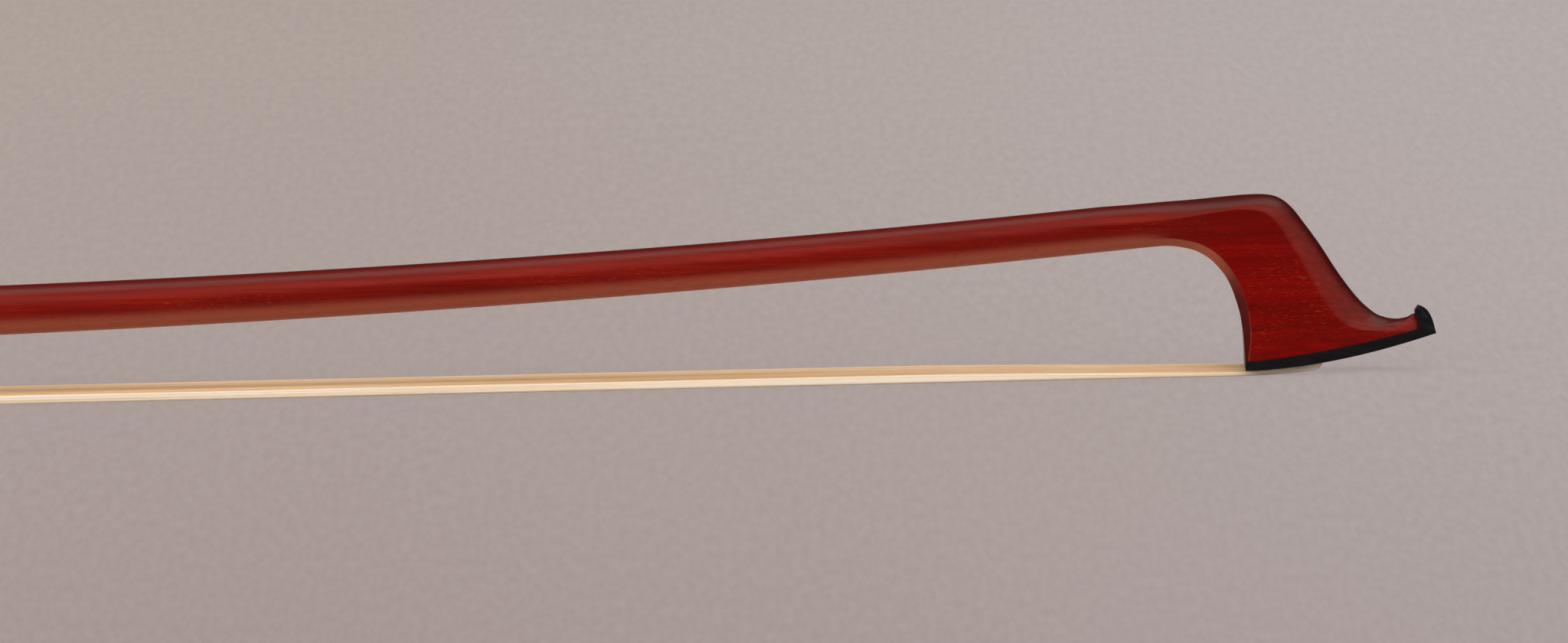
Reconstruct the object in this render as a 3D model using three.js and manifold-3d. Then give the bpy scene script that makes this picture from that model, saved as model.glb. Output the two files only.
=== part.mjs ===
// A cello bow: a cambered wooden stick with a hatchet head, its black face plate, the ribbon of
// hair, the frog with its metal mounts, and the screw and button that tighten the hair.
// Millimetres. +X points to the head, +Z up, the hair side down. The origin lies on the surface
// that the bow stands on, under the middle of its length.
import * as THREE from "three";
import { mergeVertices } from "three/addons/utils/BufferGeometryUtils.js";
import Module from "manifold-3d";

const wasm = await Module();
wasm.setup();

// Fits
const seat = 0.12; // between pieces that are seated on each other
const running = 0.2; // between pieces that slide or turn in each other
const overrun = 4; // by which a cutting tool passes the piece it cuts
const weld = 1e-4; // vertices closer than this are one vertex

// Layout along the bow
const freeHair = 613; // hair between the head plate and the ferrule's mouth
const restGap = 7; // between the frog's heel and the button
const tightenTravel = 1.4; // frog towards the button, from rest
const slackenTravel = 5.6; // frog towards the head, from rest

// Stick
const neckDistance = 20; // behind the plate's rear corner, where the shaft meets the head
const handleStraight = 113; // straight handle in front of the ferrule's mouth; the camber starts there
const neckAxisHeight = 21.2; // the stick's axis over the surface, at the neck
const handleAxisHeight = 19.7; // the same where the straight handle starts
const neckSlopeShare = -0.084; // rise of the axis per unit of distance from the head
const handleSlopeShare = 0.05;
const neckDiameter = 6.5;
const handleDiameter = 10.4; // round diameter, and the octagon's size across its flats
const taperLength = 520;
const taperPowerShare = 1.55; // how late the stick thickens towards the handle
const roundingLength = 26; // over which the handle's octagon turns round, under the leather
const nippleDiameter = 6.3;
const nippleLength = 2.6;
const ringSides = 32;
const shaftRings = 18;
const roundingShares = [0, 0.35, 0.65, 1]; // places of the rings where it turns round

// Head
const faceLength = 27.6; // plate's rear corner to the tip of its nose
const headHeight = 24.9; // plate's rear corner to the top of the head
const faceRearWidth = 11.5;
const noseWidth = 2.5;
const faceRise = 4.3; // the face sweeps up by this towards the nose
const plateThickness = 1.4;
const plateStandoff = 0.9; // the plate's rear corner over the surface
const cheekTopWidth = 6.3;
const flareHeight = 19; // the cheeks flare to the plate's width over this height
const throatChamfer = 1.35; // depth of the chamfers beside the throat, along a section
const throatInset = 1.7; // their width across the throat
const ridgeBevel = 5; // depth of the bevel beside the ridge, along a section
const planPowerShare = 1.3; // fullness of the plate's sides
const facePowerShare = 1.7; // how late the face sweeps up
const flarePowerShare = 1.5;
const bevelPowerShare = 1.8; // 2 would be a quarter round, 1 a flat
const headRings = 30;
const throatSteps = 3; // steps round half a section of the head
const cheekSteps = 5;
const bevelSteps = ringSides / 2 - throatSteps - cheekSteps - 3;
const faceSteps = 14; // along the face plate

// Head stations from the neck round to the face. Each row holds the throat point and the ridge
// point, as shares of the face length and the head height, then the shares of the chamfer and of
// the bevel, the ridge's width as a share of the cheeks', and how much of the section is round.
const headStationShares = [
  [-0.572, 0.698, -0.567, 0.955, 1, 0.5, 0, 1],
  [-0.472, 0.709, -0.428, 0.966, 1, 0.5, 0, 0.6],
  [-0.376, 0.715, -0.248, 0.978, 1, 0.5, 0, 0.25],
  [-0.281, 0.699, -0.088, 0.992, 1, 0.5, 0, 0],
  [-0.226, 0.676, 0.032, 1, 1, 0.54, 0.02, 0],
  [-0.171, 0.637, 0.132, 0.997, 1, 0.64, 0.06, 0],
  [-0.127, 0.587, 0.199, 0.974, 1, 0.72, 0.1, 0],
  [-0.089, 0.53, 0.261, 0.918, 1, 0.8, 0.15, 0],
  [-0.062, 0.467, 0.327, 0.821, 1, 0.86, 0.18, 0],
  [-0.041, 0.399, 0.405, 0.696, 1, 0.92, 0.2, 0],
  [-0.02, 0.311, 0.501, 0.525, 0.95, 1, 0.22, 0],
  [-0.008, 0.218, 0.598, 0.379, 0.85, 1.12, 0.26, 0],
  [-0.004, 0.154, 0.684, 0.3, 0.7, 1.3, 0.36, 0],
  [-0.001, 0.101, 0.775, 0.263, 0.5, 1.5, 0.5, 0],
  [0, 0.065, 0.887, 0.282, 0.3, 1.7, 0.75, 0],
  [0, 0.035, 0.897, 0.189, 0.15, 1.7, 1, 0],
  [0, 0.008, 0.913, 0.137, 0, 1.7, 1, 0],
];

// The nose, from the plate's front corner up over its tip and down to the plate's upper face, as
// shares of the face length and the head height.
const noseShares = [
  [0.986, 0.222],
  [0.966, 0.267],
  [0.946, 0.303],
  [0.922, 0.327],
  [0.908, 0.33],
  [0.9, 0.321],
  [0.888, 0.295],
  [0.887, 0.262],
  [0.889, 0.235],
];
const noseTip = 5; // row of noseShares where the nose turns down towards the beak
const noseRootShare = 0.902; // where the nose rises from the plate, as a share of the face length

// Head mortise, its plug and knot
const mortiseRear = 4; // in front of the plate's rear corner
const mortiseFront = 11.3;
const mortiseWidth = 6.2;
const mortiseDepth = 7.6; // over the plate's rear corner
const plugRounding = 1.2;
const headKnotDiameter = 2;
const knotNeckShare = 0.7; // of a knot's radius, at its ends
const knotWaistShare = 0.8; // the same in its middle
const knotSides = 16;

// Hair
const hairHeadWidth = 8.8;
const hairFrogWidth = 12;
const hairHeadThickness = 0.65;
const hairMiddleThickness = 1.4;
const hairFrogThickness = 1;
const hairBendRadius = 1;
const hairStrands = 22; // bundles of strands across the free ribbon
const bendStrands = 3; // the same where it is pressed flat in head and frog
const hairRidge = 0.12; // depth of the furrows between the bundles
const swellShare = 0.12; // of its length, over which the ribbon swells from the head
const thinningShare = 0.08; // the same at the frog
const hairStationShares = [0, 0.02, 0.05, swellShare, 0.5, 1 - thinningShare, 1];
const bendSteps = 4; // round each bend into a mortise
const flatSteps = 5; // from the plate's rear corner to the bend

// Frog
const frogLength = 48; // ferrule's mouth to the back of the heel plate
const frogWidth = 13.8; // over the slide
const cheekDrop = 2.15; // the frog's upper edges, under the stick's axis
const frogCorner = 0.9; // rounding of its upright corners at the back
const shoulderCorner = 0.5; // the same at the front
const cornerSteps = 3;
const ferruleLength = 12;
const ferruleWidth = 14;
const ferruleHeight = 8.6;
const ferruleSide = 3.5; // height of its upright sides, under the arch
const ferruleWall = 0.55;
const tongueSetback = 0.9; // of the tongue's end behind the ferrule's mouth
const tongueUnderside = 2.6; // over the surface
const wedgeLength = 6.8;
const wedgeThickness = 0.8;
const slideWidth = 9.4;
const pearlThickness = 0.95;
const slideThickness = 0.8;
const heelThickness = 0.8;
const heelHeight = 14;
const heelFoot = 7.8; // length of the heel plate's foot, behind the slide
const frogMortiseLength = 14.2;
const frogMortiseSetback = 7.6; // of the frog mortise's rear wall, in front of the heel plate's foot
const frogMortiseWidth = 8.2;
const frogMortiseTop = 10.3;
const frogKnotDiameter = 2.3;
const pinDiameter = 1.3;
const pinLength = 3;
const pinSides = 12;
const footPinShare = 0.3; // of the frog's width, from the middle to the pins in the plate's foot
const backPinShares = [1 / 3, 3 / 4]; // of the plate's height, to the pins in its back
const eyeShare = 0.5625; // of the frog's length, from the ferrule's mouth to the middle of the eyes
const eyeHeight = 12.5;
const eyeDiameter = 9;
const eyePearlDiameter = 6.8;
const eyeDepth = 0.9;
const archSteps = 14;

// The frog's front, from the slide up: upright behind the ferrule, round the thumb's hollow, then
// upright to the cheeks.
const hollowEndShare = 0.79; // of the frog's height; it starts level with the ferrule's top
const hollowRiseShare = 0.09; // of its height, between the hollow's ends and its control points
const hollowDepthShare = 0.375; // of its length, where the control points lie
const tipShare = 0.2; // of its length, from the ferrule's mouth to its upper front
const hollowSteps = 12;

// Levels of the frog's sides, each with the half width there, as shares.
const cheekShares = [
  [0, 0.96],
  [0.02, 1],
  [0.3, 0.985],
  [0.45, 0.935],
  [0.6, 0.895],
  [0.75, 0.885],
  [0.85, 0.895],
  [0.97, 0.92],
  [1, 0.905],
];

// Underslide, the metal lining of the frog's channel
const underslideThickness = 0.5;
const underslideSetback = 0.7; // of its front end behind the frog's upper front
const underslidePinShares = [0.38, 0.9]; // of the frog's length, along the handle from the mouth

// Eyelet, screw and button, measured along the handle from the ferrule's mouth
const eyeletSetback = 20; // of the eyelet's middle, in front of the frog's back
const eyeletLength = 6;
const eyeletWidth = 4.4;
const eyeletCrown = 3.4; // its top over the screw's axis
const postDiameter = 3.4;
const postLength = 7;
const screwDiameter = 3.2;
const screwNose = 8; // of the screw that runs on in the stick, in front of the slot
const buttonLength = 15.5;
const buttonAcross = 10.2; // across the octagon's flats
const collarLength = 3.8;
const collarBore = 8.2;
const collarEdge = 0.45; // chamfer at the button's edges
const buttonWaist = 0.35; // the core's flats lie this far inside the collars'
const spigotLength = 2.6;
const collarPinDiameter = 1;
const collarPinDepth = 1.7; // of its inner end under the collar's flat

// Leather and lapping, measured along the handle from the ferrule's mouth towards the head
const leatherStart = -2.6;
const leatherLength = 30;
const leatherThickness = 1.1;
const leatherEndShare = 0.45; // of its thickness, at its two ends
const lappingGap = 0.5; // between the leather and the lapping
const lappingLength = 72;
const silkThickness = 0.35;
const tinselDiameter = 0.9;
const tinselLoops = 24;
const loopSteps = 24;
const tinselSides = 6;

// Places behind the plate's rear corner, or behind the ferrule's mouth
const straightDistance = freeHair - handleStraight;
const slideRear = frogLength - heelFoot;
const frogMortiseRear = slideRear - frogMortiseSetback;
const frogMortiseFront = frogMortiseRear - frogMortiseLength;
const eyeDistance = eyeShare * frogLength;
const eyeletDistance = frogLength - eyeletSetback;

// Places along the handle, from the ferrule's mouth towards the head
const roundingStart = leatherStart - seat;
const roundingPlaces = roundingShares.map((share) => roundingStart + share * roundingLength);

// Frames: the handle's own frame has its origin on the stick's axis over the ferrule's mouth,
// and its X along the axis towards the head.
const handleTilt = Math.atan(handleSlopeShare);
const buttonEnd = frogLength + restGap + seat + buttonLength;
const buttonEdge = buttonAcross / 2 - collarEdge;
const handleReach = buttonEnd * Math.cos(handleTilt) + buttonEdge * Math.sin(handleTilt);
const headX = (freeHair + handleReach - faceLength) / 2;
const mouthX = headX - freeHair;
const mouthAxisHeight = axisHeight(freeHair);
const handleFrame = new THREE.Matrix4()
  .makeRotationY(handleTilt)
  .setPosition(mouthX, 0, mouthAxisHeight);
const frogFrame = new THREE.Matrix4().makeTranslation(mouthX, 0, 0);
const headFrame = new THREE.Matrix4().makeTranslation(headX, 0, plateStandoff);

// Solids from geometries, and back

function solidOf(geometry) {
  const loose = geometry.index ? geometry.toNonIndexed() : geometry;
  const bare = new THREE.BufferGeometry();
  bare.setAttribute("position", loose.getAttribute("position"));
  const merged = mergeVertices(bare, weld);
  const mesh = new wasm.Mesh({
    numProp: 3,
    vertProperties: merged.attributes.position.array,
    triVerts: new Uint32Array(merged.index.array),
  });
  return new wasm.Manifold(mesh);
}

function geometryOf(solid) {
  const mesh = solid.getMesh();
  const geometry = new THREE.BufferGeometry();
  geometry.setAttribute("position", new THREE.BufferAttribute(mesh.vertProperties, mesh.numProp));
  geometry.setIndex(new THREE.BufferAttribute(mesh.triVerts, 1));
  return geometry;
}

function cut(geometry, tools) {
  let solid = solidOf(geometry);
  for (const tool of tools) solid = solid.subtract(solidOf(tool));
  return geometryOf(solid);
}

function join(geometries) {
  let solid = solidOf(geometries[0]);
  for (const other of geometries.slice(1)) solid = solid.add(solidOf(other));
  return geometryOf(solid);
}

function common(one, other) {
  return geometryOf(solidOf(one).intersect(solidOf(other)));
}

// Shapes

function lerp(a, b, t) {
  return a + (b - a) * t;
}

// An outline in X and Z, swept across the bow by a half width to each side.
function slab(outline, halfWidth) {
  const shape = new THREE.Shape(outline.map(([x, z]) => new THREE.Vector2(x, z)));
  const geometry = new THREE.ExtrudeGeometry(shape, { depth: 2 * halfWidth, bevelEnabled: false });
  return geometry.rotateX(Math.PI / 2).translate(0, halfWidth, 0);
}

// An outline in Y and Z, swept along X from one place to another.
function bar(outline, from, to, holes = []) {
  const shape = new THREE.Shape(outline.map(([y, z]) => new THREE.Vector2(y, z)));
  for (const hole of holes) {
    shape.holes.push(new THREE.Path(hole.map(([y, z]) => new THREE.Vector2(y, z))));
  }
  const geometry = new THREE.ExtrudeGeometry(shape, { depth: to - from, bevelEnabled: false });
  const turn = new THREE.Matrix4().makeBasis(
    new THREE.Vector3(0, 1, 0),
    new THREE.Vector3(0, 0, 1),
    new THREE.Vector3(1, 0, 0),
  );
  return geometry.applyMatrix4(turn).translate(from, 0, 0);
}

// An outline in X and Y, swept upwards.
function plate(outline, from, to) {
  const shape = new THREE.Shape(outline.map(([x, y]) => new THREE.Vector2(x, y)));
  const geometry = new THREE.ExtrudeGeometry(shape, { depth: to - from, bevelEnabled: false });
  return geometry.translate(0, 0, from);
}

function box(fromX, toX, halfWidth, fromZ, toZ) {
  const geometry = new THREE.BoxGeometry(toX - fromX, 2 * halfWidth, toZ - fromZ);
  return geometry.translate((fromX + toX) / 2, 0, (fromZ + toZ) / 2);
}

function rodX(diameter, from, to, sides = 24) {
  const geometry = new THREE.CylinderGeometry(diameter / 2, diameter / 2, to - from, sides);
  return geometry.rotateZ(-Math.PI / 2).translate((from + to) / 2, 0, 0);
}

function rodY(diameter, from, to, sides = 24) {
  const geometry = new THREE.CylinderGeometry(diameter / 2, diameter / 2, to - from, sides);
  return geometry.translate(0, (from + to) / 2, 0);
}

function rodZ(diameter, from, to, sides = 24) {
  const geometry = new THREE.CylinderGeometry(diameter / 2, diameter / 2, to - from, sides);
  return geometry.rotateX(Math.PI / 2).translate(0, 0, (from + to) / 2);
}

// A closed skin over rings that all have the same number of points.
function loft(rings) {
  const sides = rings[0].length;
  const middle = (ring) => {
    const sum = new THREE.Vector3();
    for (const point of ring) sum.add(point);
    return sum.divideScalar(sides);
  };
  const points = [...rings.flat(), middle(rings[0]), middle(rings.at(-1))];
  const firstMiddle = points.length - 2;
  const lastMiddle = points.length - 1;
  const lastRing = (rings.length - 1) * sides;
  const faces = [];
  for (let k = 0; k < sides; k++) {
    const next = (k + 1) % sides;
    for (let start = 0; start < lastRing; start += sides) {
      faces.push(start + k, start + next, start + sides + next);
      faces.push(start + k, start + sides + next, start + sides + k);
    }
    faces.push(firstMiddle, next, k);
    faces.push(lastMiddle, lastRing + k, lastRing + next);
  }
  let volume = 0;
  for (let i = 0; i < faces.length; i += 3) {
    const [a, b, c] = [points[faces[i]], points[faces[i + 1]], points[faces[i + 2]]];
    volume += a.dot(b.clone().cross(c));
  }
  const geometry = new THREE.BufferGeometry().setFromPoints(points);
  geometry.setIndex(volume < 0 ? faces.reverse() : faces);
  return geometry;
}

// A ribbon that follows a path in X and Z, with a half width and a half thickness at each point.
function ribbon(path) {
  const rings = path.map(([x, z, halfWidth, halfThickness], i) => {
    const before = path[Math.max(i - 1, 0)];
    const after = path[Math.min(i + 1, path.length - 1)];
    const along = new THREE.Vector2(after[0] - before[0], after[1] - before[1]).normalize();
    return ribbonRing(new THREE.Vector3(x, 0, z), along, halfWidth, halfThickness, bendStrands, 0);
  });
  return loft(rings);
}

// One section of the ribbon, with a furrow between its bundles of strands.
function ribbonRing(middle, along, halfWidth, halfThickness, strands, furrow) {
  const out = new THREE.Vector3(-along.y, 0, along.x);
  const ring = [];
  for (const side of [1, -1]) {
    for (let k = 0; k <= 2 * strands; k++) {
      const across = side * (1 - k / strands) * halfWidth;
      const edge = k === 0 || k === 2 * strands;
      const height = halfThickness - (edge ? halfThickness / 2 : (k % 2) * furrow);
      const point = middle.clone().addScaledVector(out, side * height);
      point.y += across;
      ring.push(point);
    }
  }
  return ring;
}

// The stick's axis and thickness, at a distance behind the plate's rear corner

function axisHeight(distance) {
  if (distance >= straightDistance) {
    return handleAxisHeight + handleSlopeShare * (distance - straightDistance);
  }
  const span = straightDistance - neckDistance;
  const t = (distance - neckDistance) / span;
  const neckWeight = 2 * t ** 3 - 3 * t ** 2 + 1;
  const neckSlopeWeight = t ** 3 - 2 * t ** 2 + t;
  const handleSlopeWeight = t ** 3 - t ** 2;
  return (
    neckWeight * neckAxisHeight +
    neckSlopeWeight * span * neckSlopeShare +
    (1 - neckWeight) * handleAxisHeight +
    handleSlopeWeight * span * handleSlopeShare
  );
}

function axisSlope(distance) {
  const step = (straightDistance - neckDistance) / 1000;
  return (axisHeight(distance + step) - axisHeight(distance - step)) / (2 * step);
}

// The distance behind the plate's rear corner of a place along the handle.
function distanceOf(place) {
  return freeHair - place * Math.cos(handleTilt);
}

// How far the stick is octagonal there: all of it in the handle, none in front of the leather.
function octagonShare(distance) {
  const round = distanceOf(roundingPlaces.at(-1));
  return THREE.MathUtils.smoothstep(distance, round, distanceOf(roundingStart));
}

function shaftRadius(distance, angle) {
  const share = THREE.MathUtils.clamp((distance - neckDistance) / taperLength, 0, 1);
  const round = lerp(neckDiameter, handleDiameter, share ** taperPowerShare) / 2;
  const fromFlat = angle - Math.round(angle / (Math.PI / 4)) * (Math.PI / 4);
  return round * lerp(1, 1 / Math.cos(fromFlat), octagonShare(distance));
}

// A section of the stick, or of a sleeve round it, starting under the axis.
function shaftRing(distance, outside = 0) {
  const slope = axisSlope(distance);
  const up = new THREE.Vector3(slope, 0, 1).normalize();
  const middle = new THREE.Vector3(headX - distance, 0, axisHeight(distance));
  const ring = [];
  for (let k = 0; k < ringSides; k++) {
    const angle = (2 * Math.PI * k) / ringSides - Math.PI / 2;
    const radius = shaftRadius(distance, angle) + outside;
    const point = middle.clone().addScaledVector(up, radius * Math.sin(angle));
    point.y = radius * Math.cos(angle);
    ring.push(point);
  }
  return ring;
}

// A ring of the handle or of a sleeve round it, at a place along the handle's own X.
function handleRing(place, outside = 0) {
  return shaftRing(distanceOf(place), outside);
}

// The head, in a frame with its origin at the plate's rear corner

function faceBottom(x) {
  return faceRise * Math.max(x / faceLength, 0) ** facePowerShare;
}

function faceTop(x) {
  return faceBottom(x) + plateThickness;
}

function faceHalfWidth(x) {
  const share = THREE.MathUtils.clamp(x / faceLength, 0, 1) ** planPowerShare;
  return lerp(faceRearWidth, noseWidth, share) / 2;
}

// The cheeks' half width: the plate's own at the face, narrower towards the top of the head.
function cheekHalfWidth(x, z) {
  const face = faceHalfWidth(x);
  const top = Math.min(cheekTopWidth / 2, face);
  const share = THREE.MathUtils.clamp(1 - (z - faceTop(x)) / flareHeight, 0, 1);
  return lerp(top, face, share ** flarePowerShare);
}

const throatCurve = new THREE.SplineCurve(
  headStationShares.map(([x, z]) => new THREE.Vector2(x * faceLength, z * headHeight)),
);
const ridgeCurve = new THREE.SplineCurve(
  headStationShares.map(([, , x, z]) => new THREE.Vector2(x * faceLength, z * headHeight)),
);

// A section of the head in the plane through its throat point and its ridge point: the throat's
// flat, its chamfer, the cheek and the bevel up to the ridge, then the same down the other side.
function headRing(station) {
  const last = headStationShares.length - 1;
  const row = Math.min(Math.floor(station * last), last - 1);
  const [chamferShare, bevelShare, ridgeShare, roundShare] = [4, 5, 6, 7].map((column) =>
    lerp(headStationShares[row][column], headStationShares[row + 1][column], station * last - row),
  );
  const throat = throatCurve.getPoint(station);
  const ridge = ridgeCurve.getPoint(station);
  const height = throat.distanceTo(ridge);
  const chamfer = chamferShare * throatChamfer;
  const bevel = Math.min(bevelShare * ridgeBevel, height - 2 * chamfer);
  const halfWidthAt = (depth) => {
    const point = throat.clone().lerp(ridge, depth / height);
    return cheekHalfWidth(point.x, point.y);
  };
  const throatHalfWidth = halfWidthAt(0) - chamferShare * throatInset;
  const ridgeHalfWidth = ridgeShare * halfWidthAt(height);
  const half = [];
  for (let k = 0; k <= throatSteps; k++) half.push([0, (throatHalfWidth * k) / throatSteps]);
  half.push([chamfer / 2, (throatHalfWidth + halfWidthAt(chamfer)) / 2]);
  for (let k = 0; k < cheekSteps; k++) {
    const depth = lerp(chamfer, height - bevel, k / cheekSteps);
    half.push([depth, halfWidthAt(depth)]);
  }
  for (let k = 0; k <= bevelSteps; k++) {
    const turn = (k / bevelSteps) * (Math.PI / 2);
    const depth = height - bevel * (1 - Math.sin(turn) ** (2 / bevelPowerShare));
    const share = Math.max(Math.cos(turn), 0) ** (2 / bevelPowerShare);
    half.push([depth, lerp(ridgeHalfWidth, halfWidthAt(depth), share)]);
  }
  half.push([height, 0]);
  const rounded = half.map(([depth, across], k) => {
    const angle = (Math.PI * k) / (half.length - 1) - Math.PI / 2;
    return [
      lerp(depth, (height / 2) * (1 + Math.sin(angle)), roundShare),
      lerp(across, (height / 2) * Math.cos(angle), roundShare),
    ];
  });
  const ring = [];
  for (let k = 0; k < ringSides; k++) {
    const [depth, across] = rounded[Math.min(k, ringSides - k)];
    const point = throat.clone().lerp(ridge, depth / height);
    const side = k <= ringSides / 2 ? 1 : -1;
    ring.push(new THREE.Vector3(headX + point.x, side * across, plateStandoff + point.y));
  }
  return ring;
}

// The edge between the wood and the plate with its nose, from the rear to over the beak.
function faceEdge(gap) {
  const rear = [];
  for (let k = 0; k <= faceSteps; k++) {
    const x = (k / faceSteps) * noseRootShare * faceLength;
    rear.push([x - (k === faceSteps ? gap : 0), faceTop(x) + gap]);
  }
  const nose = noseShares.slice(noseTip).reverse();
  return [...rear, ...nose.map(([x, z]) => [x * faceLength - gap, z * headHeight + gap])];
}

// The slot in the handle that the eyelet travels in
const slotFront = -eyeletDistance + eyeletLength / 2 + slackenTravel + 2 * running;

function stick() {
  const rings = [];
  const end = -(frogLength + restGap);
  const nipple = rodX(nippleDiameter, end - nippleLength, end + overrun, ringSides);
  rings.push(handleRing(end));
  for (const place of roundingPlaces) rings.push(handleRing(place));
  const from = distanceOf(roundingPlaces.at(-1));
  for (let k = 1; k <= shaftRings; k++) {
    rings.push(shaftRing(lerp(from, neckDistance, k / shaftRings)));
  }
  for (let k = 0; k <= headRings; k++) rings.push(headRing(k / headRings));

  const slotLength = eyeletLength + tightenTravel + slackenTravel + 4 * running;
  const slot = box(
    slotFront - slotLength,
    slotFront,
    eyeletWidth / 2 + running,
    -handleDiameter,
    eyeletCrown + running,
  );
  const bore = rodX(
    screwDiameter + 2 * running,
    end - nippleLength - overrun,
    slotFront + screwNose + running,
  );
  const below = [
    ...faceEdge(seat),
    [noseShares[noseTip][0] * faceLength - seat, headHeight / 2],
    [faceLength + overrun, headHeight / 2],
    [faceLength + overrun, -overrun],
    [-overrun, -overrun],
    [-overrun, faceTop(0) + seat],
  ];
  const face = slab(below, faceRearWidth);
  const mortise = box(mortiseRear, mortiseFront, mortiseWidth / 2, -overrun, mortiseDepth);
  const whole = join([loft(rings), nipple.applyMatrix4(handleFrame)]);
  return cut(whole, [
    slot.applyMatrix4(handleFrame),
    bore.applyMatrix4(handleFrame),
    face.applyMatrix4(headFrame),
    mortise.applyMatrix4(headFrame),
  ]);
}

function headPlate() {
  const under = [];
  for (let k = 0; k <= faceSteps; k++) {
    const x = (k / faceSteps) * faceLength;
    under.push([x, faceBottom(x)]);
  }
  const nose = noseShares.map(([x, z]) => [x * faceLength, z * headHeight]);
  const over = faceEdge(0).slice(0, faceSteps + 1).reverse();
  const profile = slab([...under, ...nose, ...over], faceRearWidth);
  const sides = [];
  for (let k = 0; k <= faceSteps; k++) {
    const x = (k / faceSteps) * faceLength;
    sides.push([x, faceHalfWidth(x)]);
  }
  const plan = [...sides.map(([x, y]) => [x, -y]), ...sides.reverse()];
  const blank = common(profile, plate(plan, -overrun, headHeight));
  return cut(blank, [box(mortiseRear, mortiseFront, mortiseWidth / 2, -overrun, mortiseDepth)]);
}

function headPlug() {
  const rear = mortiseRear + seat;
  const front = mortiseFront - hairHeadThickness - 3 * seat;
  const top = mortiseDepth - headKnotDiameter - 2 * seat;
  const outline = [
    [rear, faceBottom(rear)],
    [front - plugRounding, faceBottom(front)],
    [front - plugRounding / 4, faceBottom(front) + plugRounding / 3],
    [front, faceBottom(front) + plugRounding],
    [front, top],
    [rear, top],
  ];
  return slab(outline, mortiseWidth / 2 - seat);
}

// The hair's knots lie across their mortises.
function knot(diameter, width) {
  const radius = diameter / 2;
  const profile = [
    [0, -width / 2],
    [radius * knotNeckShare, -width / 2],
    [radius, -width / 2 + radius],
    [radius * knotWaistShare, 0],
    [radius, width / 2 - radius],
    [radius * knotNeckShare, width / 2],
    [0, width / 2],
  ];
  return new THREE.LatheGeometry(profile.map(([x, y]) => new THREE.Vector2(x, y)), knotSides);
}

function headKnot() {
  const x = mortiseFront - headKnotDiameter / 2 - seat;
  const z = mortiseDepth - headKnotDiameter / 2 - seat;
  return knot(headKnotDiameter, mortiseWidth - 2 * seat).translate(x, 0, z);
}

// The hair under the plate, from its rear corner to the mortise and up its front wall.
function headBend() {
  const half = hairHeadThickness / 2;
  const drop = plateStandoff - half;
  const wallX = mortiseFront - seat - half;
  const path = [];
  const bendX = wallX - hairBendRadius;
  for (let k = 0; k <= flatSteps; k++) {
    const x = (k / flatSteps) * bendX;
    const width = lerp(hairHeadWidth, mortiseWidth - 2 * seat, k / flatSteps);
    path.push([x, faceBottom(x) - drop, width / 2, half]);
  }
  for (let k = 1; k <= bendSteps; k++) {
    const turn = (k / bendSteps) * (Math.PI / 2);
    const x = bendX + hairBendRadius * Math.sin(turn);
    const z = faceBottom(bendX) - drop + hairBendRadius * (1 - Math.cos(turn));
    path.push([x, z, mortiseWidth / 2 - seat, half]);
  }
  const top = mortiseDepth - headKnotDiameter - 3 * seat;
  path.push([wallX, top, mortiseWidth / 2 - seat, half]);
  return ribbon(path);
}

// The free ribbon of hair, from the head to the ferrule's mouth.
function hair() {
  const headZ = (hairHeadThickness + seat) / 2;
  const frogZ = ferruleWall + seat + hairFrogThickness / 2;
  const rings = hairStationShares.map((share) => {
    const fullness = Math.min(share / swellShare, (1 - share) / thinningShare, 1);
    const ends = lerp(hairHeadThickness, hairFrogThickness, share);
    const thickness = lerp(ends, hairMiddleThickness, fullness);
    const x = lerp(headX - seat, mouthX + seat, share);
    const z = lerp(headZ, frogZ, share) + (thickness - ends) / 2;
    const width = lerp(hairHeadWidth, hairFrogWidth, share);
    const along = new THREE.Vector2(1, 0);
    const middle = new THREE.Vector3(x, 0, z);
    return ribbonRing(middle, along, width / 2, thickness / 2, hairStrands, hairRidge);
  });
  return loft(rings);
}

// The frog, in a frame with its origin on the surface under the ferrule's mouth; what lies behind
// the mouth has a negative X.

function frogTop(x) {
  return mouthAxisHeight - handleSlopeShare * x - cheekDrop;
}

function frogHalfWidth(level) {
  const row = Math.max(cheekShares.findIndex(([rowLevel]) => rowLevel >= level), 1);
  const [lowLevel, low] = cheekShares[row - 1];
  const [highLevel, high] = cheekShares[row];
  return (lerp(low, high, (level - lowLevel) / (highLevel - lowLevel)) * frogWidth) / 2;
}

// The hollow for the thumb, as places behind the ferrule's mouth and shares of the frog's height.
const hollowStartShare = ferruleHeight / frogTop(-ferruleLength);
const hollowCurve = new THREE.CubicBezierCurve(
  new THREE.Vector2(ferruleLength + seat, hollowStartShare),
  new THREE.Vector2(hollowDepthShare * frogLength, hollowStartShare + hollowRiseShare),
  new THREE.Vector2(hollowDepthShare * frogLength, hollowEndShare - hollowRiseShare),
  new THREE.Vector2(tipShare * frogLength, hollowEndShare),
);

function frogRing(front, level) {
  const half = frogHalfWidth(level);
  const back = -frogLength;
  const corners = [
    [-front, half, shoulderCorner, 0],
    [back, half, frogCorner, 1],
    [back, -half, frogCorner, 2],
    [-front, -half, shoulderCorner, 3],
  ];
  const ring = [];
  for (const [cornerX, cornerY, radius, quarter] of corners) {
    const inX = cornerX === back ? radius : -radius;
    for (let k = 0; k <= cornerSteps; k++) {
      const turn = (quarter + k / cornerSteps) * (Math.PI / 2);
      const x = cornerX + inX + radius * Math.cos(turn);
      const y = cornerY - Math.sign(cornerY) * radius + radius * Math.sin(turn);
      ring.push(new THREE.Vector3(x, y, level * frogTop(x)));
    }
  }
  return ring;
}

function frogBlank() {
  const shoulder = ferruleLength + seat;
  const tip = tipShare * frogLength;
  const rings = [frogRing(shoulder, 0), frogRing(shoulder, cheekShares[1][0])];
  for (const { x, y } of hollowCurve.getPoints(hollowSteps)) rings.push(frogRing(x, y));
  rings.push(frogRing(tip, cheekShares.at(-2)[0]), frogRing(tip, 1));
  return loft(rings);
}

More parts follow.
